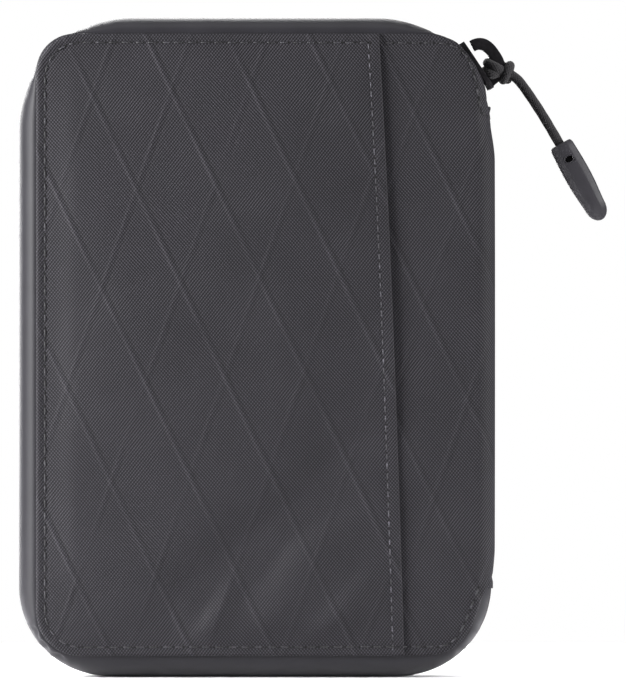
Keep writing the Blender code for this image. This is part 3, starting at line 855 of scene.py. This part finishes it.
def topstitch_path():
    """Round the cover, a stitch's width inside its edge, from spine end to spine end."""
    i, r = SEAM_INSET, PANEL_RADIUS
    top = [(51.3, 124.0), (49.8, 124.7), (48.8, 129.2), (48.1, 132.9), (46.6, 136.6),
           (44.3, 139.0), (41.0, 140.0)]
    bottom = [(41.0, 7.0), (43.2, 8.0), (45.2, 10.6), (46.8, 14.2), (48.6, 18.8), (49.6, 21.2),
              (51.2, 22.0)]
    path = smooth_curve([(float(around_roll(x)), z) for x, z in top], 4)
    path += arc_points((LEFT + r, TOP - r), r - i, 90, 180)
    path += arc_points((LEFT + r, BOTTOM + r), r - i, 180, 270)
    return path + smooth_curve([(float(around_roll(x)), z) for x, z in bottom], 4)


def front_surface(s, z):
    """The outermost face of the front: the slip pocket up to its mouth, then the cover."""
    on_pocket = (s < mouth_edge(z)) & (corner_distance(s, z) > 0)
    return np.where(on_pocket, pocket_height(s, z), cover_height(s, z))


def sewn(name, row, thread_look):
    """A row's stitches and its needle holes, as two pieces."""
    stitches, holes = stitch_row(*row)
    for label, parts, look in (("stitches", stitches, thread_look), ("holes", holes, LOOKS["hole"])):
        verts, faces = merge(parts)
        piece = add_piece(f"{name}_{label}", verts, faces, look, None)
        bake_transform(piece)


mouth_z = np.linspace(BOTTOM + 1.2, TOP - 1.2, 40)
hem_path = [(mouth_edge(z) - HEM_WIDTH, z) for z in mouth_z]
sewn("front_seam", (topstitch_path(), front_surface, -1, STITCH_PITCH, 0.66, 0.20),
     LOOKS["seam_thread"])
sewn("front_hem", (hem_path, pocket_height, -1, HEM_PITCH, 0.72, 0.15),
     LOOKS["hem_thread"])
sewn("back_seam", (topstitch_path(), cover_height, 1, STITCH_PITCH, 0.66, 0.17),
     LOOKS["seam_thread"])


# ---- zip: tapes, tails, coil ----


CORNER_START = {"top_right": 0, "top_left": 90, "bottom_left": 180, "bottom_right": 270}


def loft_corner(name, cuts):
    """(panel point, chain point, outward, angle) round one corner of the zip."""
    start = CORNER_START[name]
    sx = 1 if name.endswith("right") else -1
    sz = 1 if name.startswith("top") else -1
    cr, pr = CHAIN_RADII[name], PANEL_RADII[name]
    chain_x = (CHAIN_HIGH[0] if sx > 0 else CHAIN_LOW[0]) - sx * cr
    chain_z = (CHAIN_HIGH[2] if sz > 0 else CHAIN_LOW[2]) - sz * cr
    panel_x = (RIGHT if sx > 0 else LEFT) - sx * pr
    panel_z = (TOP if sz > 0 else BOTTOM) - sz * pr
    bend = arc_points((panel_x, panel_z), pr, start, start + 90, 16)
    first = (bend[0][0], chain_z) if name in ("top_right", "bottom_left") else (chain_x, bend[0][1])
    last = (chain_x, bend[-1][1]) if name in ("top_right", "bottom_left") else (bend[-1][0], chain_z)
    path, length = resampled([first, *bend, last], 0.1)
    run = np.linspace(0, length, len(path))
    found = []
    for cut in cuts:
        a = math.radians(start + cut)
        where = cut / 90 * length
        panel = np.array([np.interp(where, run, path[:, 0]), np.interp(where, run, path[:, 1])])
        out = np.array([math.cos(a), math.sin(a)])
        chain = np.array([chain_x, chain_z]) + cr * out
        found.append((panel, chain, out, start + cut))
    return found


def zip_stations():
    """Stations round the zip, from the spine's top end to its bottom end, anticlockwise."""
    even = list(np.linspace(0, 90, 37))
    top = loft_corner("top_right", sorted({*even, 50.0, 50.25}))
    top = [s for s in top if s[1][1] > SPINE_END_TOP - 3.0]
    last = loft_corner("bottom_right", sorted({*even, 57.75, 58.0}))
    last = [s for s in last if s[1][1] < SPINE_END_BOTTOM + 2.0]
    corners = [top, loft_corner("top_left", even), loft_corner("bottom_left", even), last]
    stations = []
    for here, after in zip(corners, corners[1:] + [None]):
        stations += here
        if after is not None:
            a, b = here[-1], after[0]
            steps = int(np.linalg.norm(b[1] - a[1]) / 3.0)
            for k in range(1, steps):
                t = k / steps
                stations.append((a[0] + (b[0] - a[0]) * t, a[1] + (b[1] - a[1]) * t, a[2], a[3]))
    return stations


STATIONS = zip_stations()
NOTCH_TOP, NOTCH_BOTTOM = 50.1, 327.9
TAPE_EDGE = 0.14
PLEATS = (40, 211, 222, 235)
TAPE_REACH = 10.15
NOTCH_EDGE = 4.75
TAPE_THICKNESS = 0.55
COIL_PITCH = 1.25
COIL_SINK = 1.25


def station_run():
    """How far along the chain each station lies."""
    chain = np.array([s[1] for s in STATIONS])
    return np.concatenate([[0], np.cumsum(np.linalg.norm(np.diff(chain, axis=0), axis=1))])


def pucker(run, angle):
    """Small gathers where the tape is eased round the corners."""
    corner = sum(math.exp(-(((angle - c) / 26.0) ** 2)) for c in (45, 135, 225, 315))
    wave = math.sin(run * 2 * PI / 4.3 + 1.2) + 0.6 * math.sin(run * 2 * PI / 2.7)
    return 0.20 * corner * wave


# Each tape's width and length as cut, noted when it is made.
TAPE_CUTS = {}


def zip_tape(label, side):
    """A gusset half with its tape, from under the cover's edge to the coil."""
    grid, uv = [], []
    runs = station_run()
    heights = [TAPE_REACH, 10.05, 9.85, 9.5, 9.0, 8.4, 7.7, 6.9, 6.0, 5.0, 4.72, 4.0, 3.0,
               2.0, 1.2, 0.6, 0.3, TAPE_EDGE]
    for (panel, chain, out, angle), run in zip(STATIONS, runs):
        edge = TAPE_EDGE if NOTCH_TOP < angle < NOTCH_BOTTOM else NOTCH_EDGE
        row = []
        for height in heights:
            y = max(height, edge)
            reach = (1 - (y / TAPE_REACH) ** 2.5) ** 0.55
            point = panel + (chain - panel) * reach
            gather = pucker(run, angle) * math.sin(PI * min((TAPE_REACH - y) / 6.0, 1.0)) * 0.8
            pleats = sum(math.exp(-((angle - c) / 3.2) ** 2) for c in PLEATS)
            point = point + out * (gather - 0.95 * pleats * math.exp(-((y - 9.1) / 0.8) ** 2))
            if height < 0.5:
                point = point - out * 0.12
            row.append((point[0], side * y, point[1]))
        tucked = panel - out * 2.0
        row = [(tucked[0], side * 9.75, tucked[1]),
               (panel[0] - out[0] * 0.5, side * 10.1, panel[1] - out[1] * 0.5)] + row
        grid.append(row)
        uv.append([(run, k * 0.8) for k in range(len(row))])
    piece = thick_sheet(f"{label}_tape", grid, uv, TAPE_THICKNESS, LOOKS["tape"], None,
                        (-1, 0, 0))
    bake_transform(piece)
    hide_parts(f"{label}_zip_tape", f"{label}_gusset")
    across = np.diff(np.array(grid[len(grid) // 2]), axis=0)
    TAPE_CUTS[piece.name] = np.linalg.norm(across, axis=1).sum(), runs[-1]


def zip_tail(name, corner, start_deg, end_deg, node):
    """The joined tape ends, tucked under the spine's end."""
    radius = CHAIN_RADII[corner] - 0.35
    cx = CHAIN_HIGH[0] - CHAIN_RADII[corner]
    cz = (CHAIN_HIGH[2] if corner == "top_right" else CHAIN_LOW[2])
    cz = cz + (-1 if corner == "top_right" else 1) * CHAIN_RADII[corner]
    grid, uv = [], []
    for a in np.linspace(start_deg, end_deg, 14):
        out = np.array([math.cos(math.radians(a)), math.sin(math.radians(a))])
        row = []
        for y in np.linspace(-4.6, 4.6, 25):
            sink = 0.45 * math.exp(-((y / 0.5) ** 2)) + 0.25 * (abs(y) / 4.6) ** 4
            reach = radius - sink
            row.append((cx + out[0] * reach, y, cz + out[1] * reach))
        grid.append(row)
        uv.append([(a * 0.45, k * 0.4) for k in range(25)])
    piece = thick_sheet(name, grid, uv, TAPE_THICKNESS, LOOKS["tape"], "spine", (1, 0, 0))
    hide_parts(node)


def coil(label, side, body):
    """One row of coil elements, each a small bent loop sewn to the tape's inner side."""
    chain, outs = [], []
    for _, point, out, angle in STATIONS:
        if NOTCH_TOP < angle < NOTCH_BOTTOM:
            chain.append(point - out * COIL_SINK)
            outs.append(out)
    chain, outs = np.array(chain), np.array(outs)
    lengths = np.concatenate([[0], np.cumsum(np.linalg.norm(np.diff(chain, axis=0), axis=1))])
    parts = []
    for k in range(int(lengths[-1] / COIL_PITCH)):
        run = (k + (0.25 if side > 0 else 0.75)) * COIL_PITCH
        x, z = np.interp(run, lengths, chain[:, 0]), np.interp(run, lengths, chain[:, 1])
        ox, oz = np.interp(run, lengths, outs[:, 0]), np.interp(run, lengths, outs[:, 1])
        norm = math.hypot(ox, oz)
        out = np.array([ox, 0, oz]) / norm
        along = np.array([-out[2], 0, out[0]])
        centre = np.array([x, 0, z])
        loop = []
        for y, lift in ((2.5, -0.45), (1.3, -0.5), (0.3, -0.42), (-0.28, 0.0), (0.3, 0.40),
                        (1.3, 0.45), (2.5, 0.4)):
            loop.append(centre + np.array([0, side * y, 0]) + out * lift)
        frames = [(p, along, np.cross(along, [0, side, 0])) for p in loop]
        parts.append(tube_mesh(frames, [(0.28, 0.0), (0.0, 0.24), (-0.28, 0.0), (0.0, -0.24)]))
    verts, faces = merge(parts)
    piece = add_piece(f"{label}_coil", verts, faces, LOOKS["coil"], body)
    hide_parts(f"{label}_zip_coil")


for label, side in (("front", -1), ("back", 1)):
    zip_tape(label, side)
    coil(label, side, f"{label}_half")
zip_tail("top_tail", "top_right", 3.0, 20.0, "zip_tail_top")
zip_tail("bottom_tail", "bottom_right", 3.0, -31.5, "zip_tail_bottom")


# ---- inside: linings, pockets, bindings ----


def rounded_rows(low, high, bottom_radius, top_radius, step=2.2):
    """Grid of (x, z) inside a box with rounded corners."""
    height = high[2] - low[2]
    z = low[2] + graded(height, step, (0.0, 0.15, 0.4, 0.8, 1.4, 2.2))
    drop_low = np.maximum(low[2] + bottom_radius - z, 0)
    drop_high = np.maximum(z - (high[2] - top_radius), 0)
    shift = bottom_radius - np.sqrt(np.maximum(bottom_radius ** 2 - drop_low ** 2, 0))
    shift = shift + top_radius - np.sqrt(np.maximum(top_radius ** 2 - drop_high ** 2, 0))
    fractions = graded(100.0, 2.4, (0.0, 0.15, 0.4, 0.8, 1.4, 2.2)) / 100.0
    left, right = low[0] + shift, high[0] - shift
    x = left[:, None] + (right - left)[:, None] * fractions
    return x, np.repeat(z[:, None], len(fractions), axis=1)


def inner_panel(name, node, side, look, radii, ripple=0.1, height=None, thickness=0.4):
    """A sheet seen from inside the wallet, lying where its CAD node lies."""
    low, high = node_box(node)
    x, z = rounded_rows(low, high, *radii)
    inner_y = min(abs(low[1]), abs(high[1]))
    y = inner_y + 0.05 + ripple * 0.5 * (1 + np.sin(x / 11.0) * np.sin(z / 15.0))
    if height is not None:
        y = y + height(x, z, low, high)
    grid = np.stack([x, side * y, z], -1)
    piece = thick_sheet(name, grid, np.stack([x, z], -1), thickness, look,
                        "front_half" if side < 0 else "back_half", (0, -side, 0))
    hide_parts(node)


def top_binding(name, node, side, body):
    """Folded tape over a pocket's mouth, as a rounded strip with ribs."""
    low, high = node_box(node)
    inner = min(abs(low[1]), abs(high[1]))
    width = 3.0
    xs = np.linspace(low[0] + 0.1, high[0] - 0.1, 60)
    section = [(-0.30, 0.0), (-0.30, 2.6), (-0.15, 2.95), (0.15, 2.95), (0.30, 2.6), (0.30, 0.0)]
    path = [((x, side * inner, high[2] - width + 0.4), (0, side, 0), (0, 0, 1)) for x in xs]
    verts, faces = tube_mesh(path, section)
    uv = [(x, k * 0.5) for x in xs for k in range(len(section))]
    add_piece(name, verts, faces, LOOKS["binding"], body, uv)


def seam_binding(label, side, body):
    """Binding round the inside seam, rounded over, with ribs across it."""
    low, high = node_box(f"{label}_seam_binding")
    middle = (abs(low[1]) + abs(high[1])) / 2
    width = 1.7
    corner = 7.2
    centreline = []
    for sx, sz, start in ((1, 1, 0), (-1, 1, 90), (-1, -1, 180), (1, -1, 270)):
        cx = (high[0] if sx > 0 else low[0]) - sx * (corner + width / 2)
        cz = (high[2] if sz > 0 else low[2]) - sz * (corner + width / 2)
        centreline += arc_points((cx, cz), corner, start, start + 90, 12)
    centreline.append(centreline[0])
    points, _ = resampled(centreline, 1.0)
    points = points[:-1]
    verts, uv = [], []
    section = [(-0.85, 0.28), (0.85, 0.28), (1.0, 0.0), (0.85, -0.3), (-0.85, -0.3), (-1.0, 0.0)]
    frames = []
    for i, point in enumerate(points):
        tangent = points[(i + 1) % len(points)] - points[i - 1]
        tangent = tangent / np.linalg.norm(tangent)
        normal = (tangent[1], 0, -tangent[0])
        frames.append(((point[0], side * middle, point[1]), normal, (0, side, 0)))
        uv += [(i * 1.0, k * 0.6) for k in range(len(section))]
    verts, faces = tube_mesh(frames, section, closed=True)
    piece = add_piece(f"{label}_binding", verts, faces, LOOKS["binding"], body, uv)
    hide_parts(f"{label}_seam_binding")


def pocket_bulge(x, z, low, high):
    """The passport pocket's cloth falls back to the lining at its sewn edges."""
    edge = np.minimum(np.minimum(x - low[0], high[0] - x), z - low[2])
    depth = (abs(high[1]) - abs(low[1])) - 0.6
    return depth * (1 - smoothstep(0.0, 5.0, edge)) ** 1.5


for label, side in (("front", -1), ("back", 1)):
    inner_panel(f"{label}_lining_cloth", f"{label}_lining", side, LOOKS["lining"],
                (6.5, 6.5), 0.06)
    seam_binding(label, side, f"{label}_half")
inner_panel("cash_sleeve_cloth", "cash_sleeve", -1, LOOKS["slot"], (7.0, 0.01), 0.04)
top_binding("cash_sleeve_mouth", "cash_sleeve", -1, "front_half")
for index in (1, 2, 3):
    inner_panel(f"card_slot_{index}_cloth", f"card_slot_{index}", -1, LOOKS["slot"],
                (7.0, 0.01), 0.04)
    top_binding(f"card_slot_{index}_mouth", f"card_slot_{index}", -1, "front_half")
inner_panel("passport_pocket_cloth", "passport_pocket", 1, LOOKS["slot"],
            (7.0, 0.01), 0.10, pocket_bulge)


def passport_mouth():
    """Binding folded over the passport pocket's mouth, following its bulge."""
    low, high = node_box("passport_pocket")
    xs = np.linspace(low[0] + 0.1, high[0] - 0.1, 80)
    section = [(-0.42, 0.0), (-0.42, 4.4), (-0.25, 4.9), (0.3, 4.9), (0.5, 4.4), (0.5, 0.0)]
    path = []
    for x in xs:
        y = abs(low[1]) + 0.3 + float(pocket_bulge(np.array(x), np.array(high[2]), low, high))
        path.append(((x, y, high[2] - 4.6), (0, 1, 0), (0, 0, 1)))
    verts, faces = tube_mesh(path, section)
    uv = [(x, k * 0.8) for x in xs for k in range(len(section))]
    piece = add_piece("passport_mouth_binding", verts, faces, LOOKS["binding"], "back_half",
                      uv)
    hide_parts("passport_pocket_binding")


passport_mouth()


def spine_lining():
    low, high = node_box("spine_lining")
    z = low[2] + graded(high[2] - low[2], 2.2, (0.0, 0.3, 0.8, 1.6))
    y = np.linspace(low[1], high[1], 26)
    zz, yy = np.meshgrid(z, y, indexing="ij")
    x = low[0] + 0.1 + 0.10 * np.sin(zz / 9.0) * np.cos(yy / 4.0)
    piece = thick_sheet("spine_lining_cloth", np.stack([x, yy, zz], -1), np.stack([yy, zz], -1),
                        0.4, LOOKS["lining"], "spine", (-1, 0, 0))
    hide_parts("spine_lining")


spine_lining()


# ---- slider, cord and tab ----


# Heights over the centre of the zip's top right corner.
UNDER_LOW, UNDER_HIGH = 21.2, 22.0
WALL_LOW, WALL_HIGH = 21.7, 23.6
PLATE_LOW, PLATE_HIGH = 26.3, 27.45
POST_HIGH = 27.0
HOOK_BASE = 28.2
HOOK_HALF_THICKNESS = 1.30
HOOK_HALF_WIDTH = 1.35


def slider_place(u, n, y):
    """A place on the slider: u along the zip, n out of it and y across it."""
    a = math.radians(SLIDER_DEG)
    return np.array([CORNER_X + 0.15 + n * math.cos(a) - u * math.sin(a), y,
                     CORNER_Z + 0.5 + n * math.sin(a) + u * math.cos(a)])


def prism_faces(count):
    faces = [tuple(range(count)), tuple(range(count, 2 * count))[::-1]]
    return faces + [(i, (i + 1) % count, count + (i + 1) % count, count + i) for i in range(count)]


def slider_prism(points, low, high):
    """Points (u, y) run between two heights, or from a height of each point's own."""
    lows = low if hasattr(low, "__len__") else [low] * len(points)
    verts = [slider_place(u, start, y) for (u, y), start in zip(points, lows)]
    verts += [slider_place(u, high, y) for u, y in points]
    return verts, prism_faces(len(points))


def slider_body():
    """The casting: a plate outside, a smaller one inside, side walls and the post."""
    half = [(-6.15, 1.7), (-5.6, 2.4), (-4.6, 2.9), (-2.5, 3.2), (-0.5, 3.5), (1.5, 3.85),
            (4.0, 3.9), (5.2, 3.6), (5.95, 2.9), (6.15, 1.9)]
    parts = [slider_prism(half + [(u, -y) for u, y in reversed(half)], PLATE_LOW, PLATE_HIGH)]
    for sign in (-1, 1):
        rail = [(-6.0, sign * 1.9), (-6.0, sign * 2.6), (-1.0, sign * 3.45), (-1.0, sign * 2.9)]
        parts.append(slider_prism(rail, [25.95, 25.95, 26.5, 26.5], 26.9))
        wall = [(-5.3, sign * 2.75), (1.0, sign * 2.75), (1.0, sign * 3.5), (-5.3, sign * 3.5)]
        parts.append(slider_prism(wall, WALL_LOW, WALL_HIGH))
    under = [(u * 0.88, y * 0.9) for u, y in half]
    parts.append(slider_prism(under + [(u, -y) for u, y in reversed(under)],
                              UNDER_LOW, UNDER_HIGH))
    post = [(1.6, 0.28), (4.4, 0.05), (4.4, -0.05), (1.6, -0.28)]
    parts.append(slider_prism(post, WALL_LOW, POST_HIGH))
    verts, faces = merge(parts)
    piece = add_piece("slider_casting", verts, faces, LOOKS["metal"], "slider")
    add_bevel(piece, 0.16)
    bake_modifiers(piece)
    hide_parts("slider_body")


def slider_crown():
    """The hook that the cord is tied to, open at the end towards the top run."""
    outer, inner = [], []
    for degrees in np.linspace(2, 180, 26):
        t = math.radians(degrees)
        wide, tall = abs(math.cos(t)) ** 0.75 * math.copysign(1, math.cos(t)), math.sin(t) ** 0.8
        u, n = -0.2 + 4.3 * wide, HOOK_BASE + 3.3 * tall
        normal = np.array([wide / 4.5, tall / 3.1])
        normal = normal / np.linalg.norm(normal)
        reach_u, reach_n = normal * HOOK_HALF_THICKNESS
        outer.append((u + reach_u, n + reach_n))
        inner.append((u - reach_u, n - reach_n))
    outline = outer + [(-5.95, 27.3), (-3.4, 27.3)] + inner[::-1]
    verts = [slider_place(u, n, y) for y in (-HOOK_HALF_WIDTH, HOOK_HALF_WIDTH) for u, n in outline]
    piece = add_piece("slider_hook", verts, prism_faces(len(outline)), LOOKS["metal"], "slider")
    add_bevel(piece, 0.42, 4, 50)
    bake_modifiers(piece)
    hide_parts("slider_crown")


def cord_path():
    """Tucked end, wrap round the standing part, two turns on the crown, then the free run."""
    bar = np.array([52.85, 0.0, 134.75])
    bar_along = np.array([0.30, 0.0, 0.954])
    bar_out = np.array([0.954, 0.0, -0.30])
    axis = np.array([0.95, 0.0, -0.31])
    across = np.array([0.31, 0.0, 0.95])
    side = np.array([0.0, 1.0, 0.0])
    wrap = np.array([55.6, 0.0, 133.95])
    points = []
    for k in range(16):
        a = math.radians(-60 + 450 * k / 15)
        shift = 0.55 - 1.1 * k / 15
        points.append(wrap + axis * shift + (side * math.cos(a) + across * math.sin(a)) * 1.72)
    for k in range(20):
        a = math.radians(60 + 560 * k / 19)
        shift = 1.45 - 2.9 * k / 19
        points.append(bar + bar_along * shift
                      + side * math.sin(a) * 2.35 + bar_out * math.cos(a) * 1.85)
    points += [np.array([54.9, -0.6, 134.2])]
    points += [np.array([x, 0.0, z]) for x, z in CORD_ROUTE]
    points += [np.array([68.1, 0.0, 116.8]), np.array([70.3, 0.0, 112.85])]
    return points


def pull_cord():
    """The braided cord, with its piece, its route and its length."""
    route, length = resampled(smooth_curve(cord_path(), 6), CORD_STEP)
    frames = path_frames(route, (0, 0, 1))
    sides = 14
    verts, uv = [], []
    for i, (centre, a, b) in enumerate(frames):
        run = i * CORD_STEP
        for k in range(sides):
            t = 2 * PI * k / sides
            v = t / (2 * PI) * 5.7
            weave = max(math.sin(turn * 2 * PI / 0.95) for turn in (run + v, run - v))
            radius = CORD_DIAMETER / 2 - 0.05 + 0.05 * weave
            verts.append(centre + (a * math.cos(t) + b * math.sin(t)) * radius)
            uv.append((run, v))
    faces = ring_faces(len(frames), sides)
    piece = add_piece("cord_braid", verts, faces, LOOKS["cord"], None, uv)
    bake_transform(piece)
    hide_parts("pull_cord", "pull_cord_knot")
    return piece, route, length


def pull_tab():
    """The moulded tab on the cord's end, with a slot through it near the top."""
    along = np.array([math.cos(TAB_SLOPE), 0, math.sin(TAB_SLOPE)])
    across = np.array([-math.sin(TAB_SLOPE), 0, math.cos(TAB_SLOPE)])
    side = np.array([0.0, 1.0, 0.0])
    top = np.array([TAB_TOP[0], 0, TAB_TOP[1]]) + across * 0.1
    section = ((1.0, 0.0), (1.0, 0.42), (0.90, 0.66), (0.52, 0.97), (0.44, 1.0), (0.0, 1.02),
               (-0.44, 1.0), (-0.52, 0.97), (-0.90, 0.66), (-1.0, 0.42))
    outline = list(section) + [(-w, -d) for w, d in section]
    verts = []
    stops = [0.0, 0.12, 0.35, 0.8, 1.5, 3, 5, 7, 9, 11, 13, 14.5, 15.5, 16.4, 17.2, 17.9, 18.5,
             18.9, 19.12, 19.2]
    for s in stops:
        swell = 2.6 + 0.30 * math.sin(PI * min(s / 15.0, 1.0)) - 0.35 * max(s - 10, 0) / 9
        nose = math.sqrt(max(1 - (max(s - 16.2, 0) / 3.02) ** 2, 0.0))
        crown = math.sqrt(max(1 - (max(0.8 - s, 0) / 0.85) ** 2, 0.04))
        width = swell * max(nose, 0.08) * (0.72 + 0.28 * crown)
        depth = 2.1 * max(nose ** 0.7, 0.1) * (0.72 + 0.28 * crown)
        flat = 1.0 if s < 15 else 1.0 - 0.5 * (s - 15) / 4.2
        for w, d in outline:
            bevel = d * depth * (flat if abs(w) < 0.6 else 1.0)
            verts.append(top + along * s + across * w * width + side * bevel)
    faces = ring_faces(len(stops), len(outline))
    piece = add_piece("tab_moulding", verts, faces, LOOKS["tab"], "pull")
    piece.data.set_sharp_from_angle(angle=math.radians(17))
    centre = top + along * 3.9
    frames = [(centre + side * y, along, across) for y in (-4.0, 4.0)]
    cut_verts, cut_faces = tube_mesh(frames, ellipse(0.68, 1.0, 20))
    cutter = add_piece("tab_slot_cutter", cut_verts, cut_faces, LOOKS["tab"])
    modifier = piece.modifiers.new("slot", "BOOLEAN")
    modifier.operation = "DIFFERENCE"
    modifier.object = cutter
    bake_modifiers(piece)
    bpy.data.objects.remove(cutter)
    rim = []
    for y in (-2.12, 2.12):
        ring = [centre + side * y + along * c + across * d for c, d in ellipse(0.80, 1.12, 24)]
        frames = []
        for i, point in enumerate(ring):
            tangent = ring[(i + 1) % len(ring)] - ring[i - 1]
            tangent = tangent / np.linalg.norm(tangent)
            frames.append((point, np.cross(tangent, side), side))
        rim.append(tube_mesh(frames, ellipse(0.13, 0.13, 6), closed=True))
    verts, faces = merge(rim)
    add_piece("tab_slot_rim", verts, faces, LOOKS["tab"], "pull")
    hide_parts("pull_tab")
    return piece


slider_body()
slider_crown()
tab = pull_tab()
cord_piece, cord_route, cord_length = pull_cord()


# ---- carried-over CAD nodes ----

for node, look in (("front_stiffener", "foam"), ("back_stiffener", "foam"),
                   ("zip_top_stop_front", "metal"), ("zip_top_stop_back", "metal"),
                   ("zip_bottom_stop", "metal")):
    carried = bpy.data.objects[node]
    carried.data.materials.clear()
    carried.data.materials.append(LOOKS[look])


# ---- soft goods: each cloth's cut width, length and area ----



def flat_cut(piece):
    """A cloth's width, length and area as it was cut, from its unrolled coordinates."""
    mesh = piece.data
    flat = np.zeros(len(mesh.vertices) * 3, np.float32)
    mesh.attributes["cloth_mm"].data.foreach_get("vector", flat)
    flat = flat.reshape(-1, 3)[:, :2].astype(float)
    both_sides = 0.0
    for face in mesh.polygons:
        x, y = flat[list(face.vertices)].T
        both_sides += abs(np.dot(x, np.roll(y, -1)) - np.dot(y, np.roll(x, -1))) / 2
    width, length = np.ptp(flat, axis=0)
    return float(width), float(length), float(both_sides / 2)


# What each cloth lies on, and the pieces that are sewn to it.
CLOTHS = {
    "front_cover_cloth": (["front_stiffener"], []),
    "back_cover_cloth": (["back_stiffener"], ["back_seam_stitches", "back_seam_holes"]),
    "slip_pocket_cloth": (["front_cover_cloth"],
                          ["front_seam_stitches", "front_seam_holes", "front_hem_stitches",
                           "front_hem_holes"]),
    "front_lining_cloth": (["front_stiffener"], ["front_binding"]),
    "back_lining_cloth": (["back_stiffener"], ["back_binding"]),
    "front_tape": (["front_cover_cloth"], ["front_coil"]),
    "back_tape": (["back_cover_cloth"], ["back_coil"]),
    "cash_sleeve_cloth": (["front_lining_cloth"], ["cash_sleeve_mouth"]),
    "card_slot_1_cloth": (["cash_sleeve_cloth"], ["card_slot_1_mouth"]),
    "card_slot_2_cloth": (["card_slot_1_cloth"], ["card_slot_2_mouth"]),
    "card_slot_3_cloth": (["card_slot_2_cloth"], ["card_slot_3_mouth"]),
    "passport_pocket_cloth": (["back_lining_cloth"], ["passport_mouth_binding"]),
    "spine_lining_cloth": (["back_cover_cloth"], []),
}
for cloth_name, (under, on_it) in CLOTHS.items():
    cloth = bpy.data.objects[cloth_name]
    if cloth_name in TAPE_CUTS:
        cut_width, cut_length = TAPE_CUTS[cloth_name]
        cut_area = cut_width * cut_length
    else:
        cut_width, cut_length, cut_area = flat_cut(cloth)


# ---- camera, floor and light ----


PICTURE_WIDTH, PICTURE_HEIGHT = 626, 700


def add_camera():
    """Level with the wallet's middle and square to its front cover."""
    view_width = 138.5
    view_height = view_width * PICTURE_HEIGHT / PICTURE_WIDTH
    distance = 1300.0
    data = bpy.data.cameras.new("camera")
    data.lens = data.sensor_width * (distance - COVER_Y * 0.5) / view_height
    data.clip_end = 50.0
    camera = bpy.data.objects.new("camera", data)
    bpy.context.collection.objects.link(camera)
    camera.location = Vector((12.55, -distance, 72.35)) * MM
    camera.rotation_euler = (PI / 2, 0, 0)
    bpy.context.scene.camera = camera


def add_floor():
    n = Nodes("pale_floor", roughness=0.85)
    _, vector = n.object_mm()
    haze = n.noise(vector, 0.02, 2.0)
    look = n.finish(n.ramp(haze, [(0.3, (0.86, 0.85, 0.87)), (0.7, (0.90, 0.89, 0.91))]),
                    n.plus(0.8, n.times(haze, 0.1)))
    size = 140
    verts = [(-size, -size, 0), (size, -size, 0), (size, size, 0), (-size, size, 0)]
    floor = add_piece("floor", verts, [(0, 1, 2, 3)], look)
    floor.location.z = -0.05 * MM
    floor.visible_diffuse = False


def add_light(name, place, size, power, target=(0, 0, 72)):
    data = bpy.data.lights.new(name, "AREA")
    data.shape = "RECTANGLE"
    data.size, data.size_y = size[0] * MM, size[1] * MM
    data.energy = power
    light = bpy.data.objects.new(name, data)
    bpy.context.collection.objects.link(light)
    light.location = Vector(place) * MM
    aim = Vector(target) * MM - light.location
    light.rotation_euler = aim.to_track_quat("-Z", "Y").to_euler()


def add_floor_lights():
    """Broad lights on the floor alone, which keep it as pale as the backdrop."""
    lit = bpy.data.collections.new("floor_only")
    lit.objects.link(bpy.data.objects["floor"])
    for name, lean in (("floor_wash_front", 40), ("floor_wash_back", -40)):
        data = bpy.data.lights.new(name, "SUN")
        data.energy = 1.65
        data.angle = math.radians(50)
        light = bpy.data.objects.new(name, data)
        bpy.context.collection.objects.link(light)
        light.rotation_euler = (math.radians(lean), 0, 0)
        light.light_linking.receiver_collection = lit


def add_world():
    world = bpy.data.worlds.new("studio")
    bpy.context.scene.world = world
    world.use_nodes = True
    tree = world.node_tree
    back = tree.nodes["Background"]
    rays = tree.nodes.new("ShaderNodeLightPath")
    mix = tree.nodes.new("ShaderNodeMix")
    mix.data_type = "FLOAT"
    mix.inputs["A"].default_value = 0.17
    mix.inputs["B"].default_value = 1.0
    tree.links.new(rays.outputs["Is Camera Ray"], mix.inputs["Factor"])
    tree.links.new(mix.outputs["Result"], back.inputs["Strength"])
    back.inputs["Color"].default_value = (1.0, 1.0, 1.0, 1.0)


bpy.context.scene.view_settings.view_transform = "Standard"
add_camera()
add_floor()
add_world()
add_light("key", (-1300, -270, 300), (900, 1200), 20.0)
add_light("near_key", (-380, -190, 190), (200, 260), 2.45)
add_light("rim", (1300, -500, 250), (500, 900), 19.0)
add_light("overhead", (0, 250, 1300), (700, 700), 2.0)
add_light("back_fill", (-350, 1250, 420), (900, 900), 20.0)
add_floor_lights()
